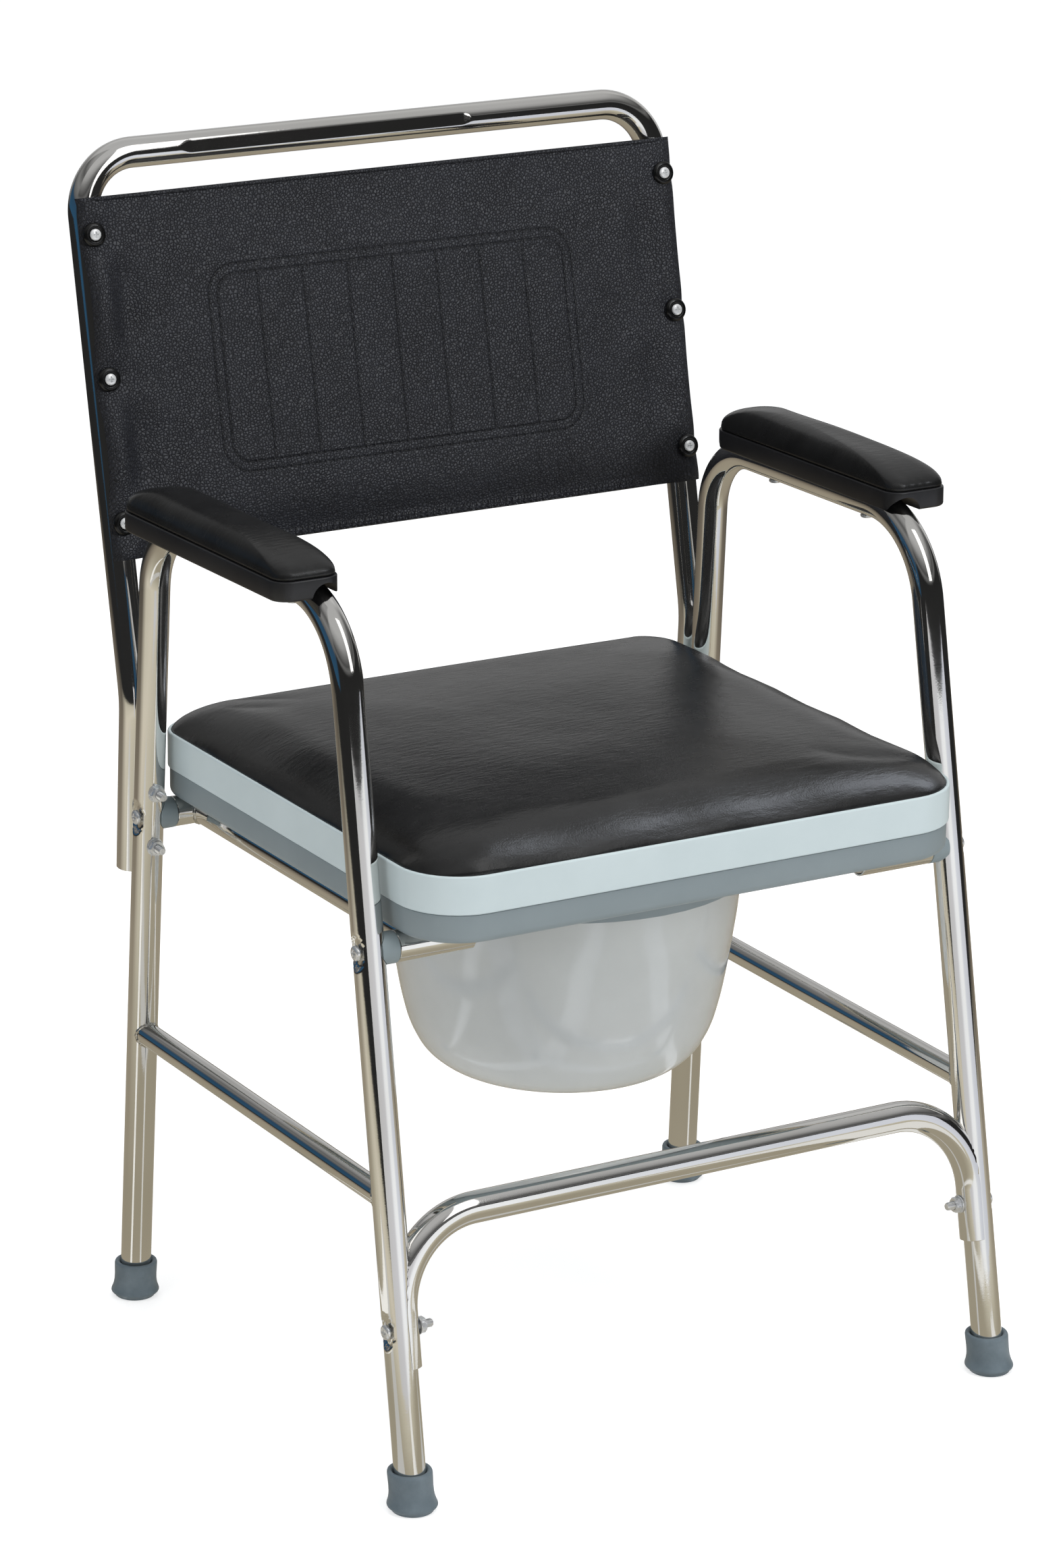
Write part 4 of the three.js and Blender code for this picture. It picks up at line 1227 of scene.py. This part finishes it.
# ------------------------------------------------------------------ pail
def pail():
    """A tapering bucket with a round bottom and a flange, outer face first and then the inner one."""
    height = TRAY_TOP_Z - 0.0037 - PAIL_BOTTOM_Z
    outer = [
        (0.0, 0.0022),
        (0.058, 0.0022),
        (0.064, 0.0),
        (0.074, 0.0),
        (0.088, 0.0040),
        (0.1005, 0.0140),
        (0.1095, 0.0310),
        (0.1150, 0.0520),
        (0.1190, 0.0740),
        (0.1260, 0.1220),
        (0.1300, height),
        (FLANGE_R, height),
        (FLANGE_R, height + 0.003),
        (0.1275, height + 0.003),
        (0.1235, 0.1220),
        (0.1165, 0.0740),
        (0.1125, 0.0520),
        (0.1070, 0.0330),
        (0.0980, 0.0165),
        (0.0860, 0.0075),
        (0.0740, 0.0050),
        (0.0, 0.0050),
    ]
    profile = rounded_profile(outer, 0.012, 5)
    points, faces = turned(profile, APERTURE + vec(0, 0, PAIL_BOTTOM_Z), UP, 128)
    piece("pail_bucket", points, faces, PAIL, "pail_plastic", "pail", ["pail"], sharp=55)


# ------------------------------------------------------------------ armrests
PAD_X = 0.2455
PAD = Plan(0.025, -0.1124, 0.1312, 0.013, 0.022)
BASE_LOW = 0.0015
BASE_HIGH = 0.0155
PAD_HEIGHT = 0.020
PAD_INSET = 0.0015
PAD_CROWN_SHIFT = 0.045
ARM_SCREW_YS = {"front": -0.062, "rear": 0.058}
ARM_RUN = leg_at("rear", 1, ARM_Z["rear"]) - leg_at("front", 1, ARM_Z["front"])
ARM_SLOPE = ARM_RUN[2] / ARM_RUN[1]


def arm_z(y):
    return ARM_Z["rear"] + (y - leg_at("rear", 1, ARM_Z["rear"])[1]) * ARM_SLOPE


def tipped(points, side):
    """Level points over the arm rail's height, laid along the sloping rail."""
    angle = math.atan(ARM_SLOPE)
    c, s = math.cos(angle), math.sin(angle)
    turn = np.array([[1, 0, 0], [0, c, -s], [0, s, c]])
    return np.array(points) @ turn.T + vec(side * PAD_X, 0, arm_z(0))


def cut_by(obj, tool):
    """Subtracts one mesh from another and drops the tool."""
    change = obj.modifiers.new("cut", "BOOLEAN")
    change.operation = "DIFFERENCE"
    change.object = tool
    change.solver = "EXACT"
    shaped = obj.evaluated_get(bpy.context.evaluated_depsgraph_get())
    mesh = bpy.data.meshes.new_from_object(shaped)
    obj.modifiers.clear()
    obj.data = mesh
    mesh.set_sharp_from_angle(angle=math.radians(35))
    bpy.data.objects.remove(tool)


def arm_bases():
    for word, side in SIDES:
        rings = [PAD.scaled(0.02, BASE_LOW)]
        for t in np.linspace(0, math.pi / 2, 5):
            rings.append(PAD.ring(0.0018 * (1 - math.sin(t)), BASE_LOW + 0.0018 * (1 - math.cos(t))))
        for t in np.linspace(0, math.pi / 2, 5):
            rings.append(PAD.ring(0.0012 * (1 - math.cos(t)), BASE_HIGH - 0.0012 * (1 - math.sin(t))))
        rings.append(PAD.scaled(0.02, BASE_HIGH))
        points, faces = skin(rings)
        node = f"arm_base_{word}"
        base = piece(
            f"{node}_shell", tipped(points, side), faces, BLACK, "black_plastic", stands_for=[node], sharp=35
        )
        front = leg_at("front", side, ARM_Z["front"])
        rear = leg_at("rear", side, ARM_Z["rear"])
        run = unit(rear - front)
        a, b = sides_of(run)
        reach = 0.30
        middle = (front + rear) / 2
        ends = [ring_round(middle + run * d, a, b, TUBE_R + 0.0006, 48) for d in (-reach, reach)]
        tool_mesh = bpy.data.meshes.new("channel")
        tool_points, tool_faces = skin(ends)
        tool_mesh.from_pydata([tuple(p) for p in tool_points], [], tool_faces)
        cut_by(base, placed_in_scene("channel", tool_mesh))


def arm_pads():
    """Upholstered pads: short upright sides, a round top, highest near the rear and tapering forward."""
    seam = BASE_HIGH + 0.0003
    for word, side in SIDES:
        rings = [PAD.ring(PAD_INSET + 0.0005, seam), PAD.ring(PAD_INSET - 0.0002, seam + 0.0012)]
        for share in 1 - np.linspace(0, 1, 42) ** 1.6 * 0.985:
            rise = 0.12 + 0.88 * math.sqrt(1 - share**2.7)
            rings.append(PAD.scaled(share, seam + PAD_HEIGHT * rise, PAD_INSET, PAD_CROWN_SHIFT))
        points, faces = skin(rings)
        points = np.array(points)
        x, y, z = points.T
        at_nose = np.exp(-(((y - PAD.low) / 0.012) ** 2)) * smooth((z - seam) / 0.003)
        low_band = np.exp(-(((z - seam - 0.0055) / 0.0035) ** 2))
        gathers = 0.00016 * np.sin(x * 820 + 1.2 * np.sin(x * 260)) * at_nose * low_band
        drift = 0.0004 * np.sin(y * 48 + side) * np.sin(x * 90) * smooth((z - seam - 0.006) / 0.006)
        points[:, 1] -= gathers
        points[:, 2] += drift
        node = f"arm_pad_{word}"
        points = tipped(points, side)
        pad = piece(f"{node}_vinyl", points, faces, PAD_VINYL, "seat_vinyl", stands_for=[node], sharp=70)


def arm_screws():
    for word, side in SIDES:
        for end, y in ARM_SCREW_YS.items():
            rail_x = side * (LEG_X_FLOOR - LEG_LEAN * ARM_Z["front"])
            seat = vec(rail_x, y, arm_z(y) - TUBE_R - 0.0001)
            node = f"arm_screw_{word}_{end}"
            head = placed(cross_head(0.0044, 0.0025), seat, -UP)
            piece(f"{node}_head", *head, ZINC, "zinc", stands_for=[node])


# ------------------------------------------------------------------ stage
def camera():
    """The viewing angle: left of the front, a little above, from far away with a long lens."""
    azimuth, elevation, roll = (math.radians(a) for a in (-30.823, 18.094, 0.811))
    distance = 3.933
    target = vec(0.00045, 0.0122, 0.40746)
    back = vec(
        math.sin(azimuth) * math.cos(elevation),
        -math.cos(azimuth) * math.cos(elevation),
        math.sin(elevation),
    )
    right = unit(np.cross(-back, UP))
    up = np.cross(right, -back)
    cam_x = math.cos(roll) * right + math.sin(roll) * up
    cam_y = -math.sin(roll) * right + math.cos(roll) * up
    data = bpy.data.cameras.new("camera")
    data.sensor_width = 36
    data.lens = 125.9
    obj = placed_in_scene("camera", data)
    turn = Matrix([cam_x, cam_y, back]).transposed().to_4x4()
    obj.matrix_world = Matrix.Translation(Vector(target + distance * back)) @ turn
    bpy.context.scene.camera = obj


def area_light(name, place, aim, size, power, color=(1, 1, 1)):
    data = bpy.data.lights.new(name, "AREA")
    data.shape = "RECTANGLE"
    data.size, data.size_y = size
    data.energy = power
    data.color = color
    obj = placed_in_scene(name, data)
    obj.location = place
    obj.rotation_euler = (Vector(aim) - Vector(place)).to_track_quat("-Z", "Y").to_euler()
    return obj


def lights():
    """Soft lamps that mirror surfaces don't see, because the mirrored studio stands in for them."""
    for name, place, aim, size, power in (
        ("overhead", (0.2, -0.3, 2.6), (0.2, -0.1, 0.4), (1.6, 1.9), 32),
        ("front_right", (1.3, -2.7, 1.5), (0, 0, 0.45), (1.2, 1.6), 30),
        ("left_fill", (-2.6, -1.0, 1.6), (0, 0, 0.4), (0.8, 1.6), 14),
        ("rear_edge", (0.7, 2.6, 1.9), (0, 0, 0.5), (1.8, 0.9), 14),
    ):
        area_light(name, place, aim, size, power).visible_glossy = False


def sheen_light(name, place, aim, size, power, color, receivers):
    """A soft light that falls only on the named pieces, for the sheen of the vinyl and the plastics."""
    lamp = area_light(name, place, aim, size, power, color)
    lit = bpy.data.collections.new(f"{name}_receivers")
    for obj in receivers:
        lit.objects.link(obj)
    lamp.light_linking.receiver_collection = lit


def sheens():
    def wearing(*materials):
        found = []
        for obj in bpy.context.scene.objects:
            if obj.type == "MESH" and obj.data.materials and obj.data.materials[0] in materials:
                found.append(obj)
        return found

    seat = wearing(VINYL, PAIL)
    sheen_light("sheen_right", (1.85, -0.1, 2.2), (0, -0.1, 0.5), (0.9, 1.5), 15, (0.84, 0.90, 1.0), seat)
    arms = wearing(PAD_VINYL, BLACK, WASHER)
    sheen_light("sheen_arms", (0.95, -1.5, 2.2), (0, 0, 0.6), (0.5, 0.5), 9, (0.90, 0.94, 1.0), arms)
    back = wearing(LEATHERETTE, THREAD)
    sheen_light("sheen_front", (0.9, -2.2, 1.8), (0, 0.2, 0.7), (0.8, 0.8), 40, (0.92, 0.95, 1.0), back)


class Glow(Tree):
    """A small node tree for the surround and for the panels that only mirror surfaces see."""

    def __init__(self, tree):
        super().__init__(tree)
        self.tree.nodes.clear()

    def turn_round(self, x, y):
        """Where a direction falls on the scale of share_of_turn."""
        bearing = self.maths("ARCTAN2", x, self.maths("MULTIPLY", y, -1.0))
        return self.maths("MULTIPLY_ADD", bearing, 0.5 / math.pi, 0.5)

    def mix(self, share, a, b):
        made = self.add("ShaderNodeMix", {"Factor": share}, data_type="RGBA")
        for name, value in (("A", a), ("B", b)):
            socket = next(i for i in made.inputs if i.name == name and i.type == "RGBA")
            self.tree.links.new(value, socket)
        return next(o for o in made.outputs if o.type == "RGBA")


def share_of_turn(degrees):
    """Where a bearing (0 in front, + to the right) falls on a 0..1 scale that starts behind."""
    return degrees / 360 + 0.5


def share_of_height(degrees):
    """Where an elevation falls on a 0..1 scale from straight down to straight up."""
    return 0.5 + 0.5 * math.sin(math.radians(degrees))


def world():
    """A pale surround; mirror surfaces see a dark studio with a light backdrop and blue on the left."""
    made = bpy.data.worlds.new("studio")
    made.use_nodes = True
    g = Glow(made.node_tree)
    split = g.add("ShaderNodeSeparateXYZ", {0: g.add("ShaderNodeTexCoord").outputs["Generated"]})
    height = g.maths("MULTIPLY_ADD", split.outputs["Z"], 0.5, 0.5)
    turn = g.turn_round(split.outputs["X"], split.outputs["Y"])

    def by_height(*stops):
        return g.ramp(height, *((share_of_height(e), color) for e, color in stops))

    ahead = by_height(
        (-14, (0.36, 0.33, 0.26)),
        (-8, 0.022),
        (19, 0.018),
        (24, 0.15),
        (28, 0.07),
        (38, 0.20),
        (45, 0.34),
        (58, 0.46),
        (75, 0.46),
    )
    leftward = by_height(
        (-20, (0.34, 0.30, 0.23)),
        (-13, (0.03, 0.05, 0.06)),
        (-8, (0.025, 0.085, 0.16)),
        (16, (0.025, 0.065, 0.12)),
        (20, 0.12),
        (35, 0.22),
        (50, 0.10),
        (70, 0.30),
    )
    behind = by_height(
        (-30, (0.33, 0.30, 0.24)),
        (-12, 0.60),
        (12, 0.58),
        (26, 0.42),
        (34, 0.48),
        (42, 0.58),
        (56, 0.48),
        (64, 0.45),
    )
    left_share = g.ramp(
        turn,
        (share_of_turn(-158), 0.0),
        (share_of_turn(-150), 1.0),
        (share_of_turn(-85), 1.0),
        (share_of_turn(-76), 0.0),
    )
    back_share = g.ramp(
        turn,
        (0.0, 0.55),
        (share_of_turn(-150), 0.0),
        (share_of_turn(98), 0.0),
        (share_of_turn(112), 1.0),
        (share_of_turn(165), 0.85),
        (1.0, 0.55),
    )
    mirrored = g.mix(back_share, g.mix(left_share, ahead, leftward), behind)
    studio = g.add("ShaderNodeBackground", {"Color": mirrored})
    plain = g.add("ShaderNodeBackground", {"Color": (0.96, 0.98, 1.0, 1), "Strength": 0.50})
    rays = g.add("ShaderNodeLightPath")
    choose = g.add("ShaderNodeMixShader", {0: rays.outputs["Is Glossy Ray"]})
    made.node_tree.links.new(plain.outputs[0], choose.inputs[1])
    made.node_tree.links.new(studio.outputs[0], choose.inputs[2])
    g.add("ShaderNodeOutputWorld", {"Surface": choose.outputs[0]})
    bpy.context.scene.world = made


def mirrored_only(name, points, faces, color_of):
    """A glowing stage piece that only mirror reflections see."""
    material = bpy.data.materials.new(name)
    material.use_nodes = True
    g = Glow(material.node_tree)
    place = g.add("ShaderNodeTexCoord").outputs["Object"]
    color = color_of(g, place)
    g.add("ShaderNodeOutputMaterial", {"Surface": g.add("ShaderNodeEmission", {"Color": color}).outputs[0]})
    mesh = bpy.data.meshes.new(name)
    mesh.from_pydata([tuple(p) for p in points], [], faces)
    mesh.materials.append(material)
    obj = placed_in_scene(name, mesh)
    obj.visible_camera = False
    obj.visible_diffuse = False
    obj.visible_shadow = False
    obj.visible_transmission = False
    return obj


BEIGE = (0.36, 0.325, 0.245)
PALE_BEIGE = (0.52, 0.485, 0.385)
BRIGHT_BEIGE = (0.66, 0.61, 0.50)
PAPER_REACH = 3.0
BOARD_RADIUS = 1.25
BOARD_TOP = 0.53


def mirrored_paper():
    """The lit paper the chair stands on: beige underneath, brighter out in front, dark past its edge."""

    def color_of(g, place):
        split = g.add("ShaderNodeSeparateXYZ", {0: place})
        x, y = split.outputs["X"], split.outputs["Y"]
        far = g.maths("SQRT", g.maths("ADD", g.maths("MULTIPLY", x, x), g.maths("MULTIPLY", y, y)))
        reach = g.maths("DIVIDE", far, PAPER_REACH)
        brightening = ((0.0, BEIGE), (0.16, BEIGE), (0.30, PALE_BEIGE), (0.48, BRIGHT_BEIGE))
        lit = g.ramp(reach, *brightening, (0.74, PALE_BEIGE), (0.88, 0.02))
        dim = g.ramp(reach, (0.0, BEIGE), (0.3, (0.33, 0.29, 0.22)), (0.5, (0.21, 0.18, 0.14)), (0.9, 0.02))
        turn = g.turn_round(x, y)
        front = g.ramp(
            turn,
            (share_of_turn(-125), 0.0),
            (share_of_turn(-95), 1.0),
            (share_of_turn(45), 1.0),
            (share_of_turn(75), 0.0),
        )
        return g.mix(front, dim, lit)

    mirrored_only("mirrored_paper", square(12.0, -0.002), [(0, 1, 2, 3)], color_of)


def mirrored_board():
    """A low white board curving round in front, brightest where the key light falls."""

    def color_of(g, place):
        split = g.add("ShaderNodeSeparateXYZ", {0: place})
        turn = g.turn_round(split.outputs["X"], split.outputs["Y"])
        return g.ramp(
            turn,
            (share_of_turn(-42), (0.60, 0.60, 0.61)),
            (share_of_turn(-12), (0.64, 0.64, 0.67)),
            (share_of_turn(0), (0.92, 0.94, 0.97)),
            (share_of_turn(16), (0.96, 0.98, 1.0)),
            (share_of_turn(26), (0.72, 0.75, 0.82)),
            (share_of_turn(50), (0.64, 0.66, 0.74)),
        )

    points, faces = [], []
    bearings = np.radians(np.linspace(-42, 50, 40))
    for i, a in enumerate(bearings):
        x, y = BOARD_RADIUS * math.sin(a), -BOARD_RADIUS * math.cos(a)
        points += [(x, y, 0.0), (x, y, BOARD_TOP)]
        if i:
            faces.append((2 * i - 2, 2 * i, 2 * i + 1, 2 * i - 1))
    mirrored_only("mirrored_board", points, faces, color_of)


def mirrored_softbox():
    """A tall softbox high in front, which puts the white windows on the bends and the top bar."""

    def color_of(g, place):
        return (1.5, 1.5, 1.5, 1)

    low, high = (-1.95, 1.35), (-0.55, 2.45)
    points = [(0.10, *low), (0.82, *low), (0.82, *high), (0.10, *high)]
    mirrored_only("mirrored_softbox", points, [(0, 1, 2, 3)], color_of)


def mirrored_streaks():
    """Wedges of light fanning out from each leg's foot, which draw a bright line up the whole leg."""
    fans = (
        ("rear", -1, -62, 13, 0.95),
        ("rear", -1, 5, 10, 0.72),
        ("front", -1, -84, 12, 0.60),
        ("front", -1, 8, 14, 0.88),
        ("front", 1, -88, 12, 0.56),
        ("rear", 1, 8, 12, 0.80),
    )
    for number, (end, side, bearing, width, level) in enumerate(fans):
        foot = leg_at(end, side, 0)
        points = [(foot[0], foot[1], -0.001 + 0.0001 * number)]
        for turn in (-width / 2, width / 2):
            a = math.radians(bearing + turn)
            points.append((foot[0] + 1.0 * math.sin(a), foot[1] - 1.0 * math.cos(a), points[0][2]))

        def color_of(g, place, level=level):
            return (level, level * 0.99, level * 0.95, 1)

        mirrored_only(f"mirrored_streak_{number}", points, [(0, 1, 2)], color_of)


def floor_glow(n):
    """Stronger towards the back and to the eye than to the chair's underside."""
    split = n.add("ShaderNodeSeparateXYZ", {0: n.place})
    back = n.maths("MULTIPLY_ADD", split.outputs["Y"], 0.125, 0.0, clamp=True)
    seen = n.spread(back, 0.62, 0.80)
    bounce = n.add("ShaderNodeLightPath").outputs["Is Diffuse Ray"]
    return n.maths("SUBTRACT", seen, n.maths("MULTIPLY", bounce, 0.24))


def floor():
    """The pale floor seen by the camera; it glows a little so that it stays pale all the way back."""
    n = Nodes("floor", Roughness=0.9)
    n.color(n.ramp(n.noise(1.2, 2), (0.3, (0.60, 0.60, 0.60)), (0.7, (0.62, 0.62, 0.62))))
    n.put(n.shader.inputs["Emission Color"], (1, 1, 1, 1))
    n.put(n.shader.inputs["Emission Strength"], floor_glow(n))
    mesh = bpy.data.meshes.new("floor")
    mesh.from_pydata(square(30.0, 0), [], [(0, 1, 2, 3)])
    mesh.materials.append(n.material)
    obj = placed_in_scene("floor", mesh)
    obj.visible_glossy = False


# ------------------------------------------------------------------ the chair
camera()
lights()
world()
floor()
mirrored_paper()
mirrored_board()
mirrored_softbox()
mirrored_streaks()
side_frames()
side_stretchers()
back_frame()
front_stretcher()
seat_tubes()
plugs()
feet()
bolts()
panel_fasteners()
back_sheet = panel_sheet()
stitches = panel_stitches()
hems, overlock = panel_hems()
commode_seat()
seat_shell()
seat_cushion()
pail()
arm_bases()
arm_pads()
arm_screws()
sheens()
bpy.context.scene.view_settings.view_transform = "Standard"
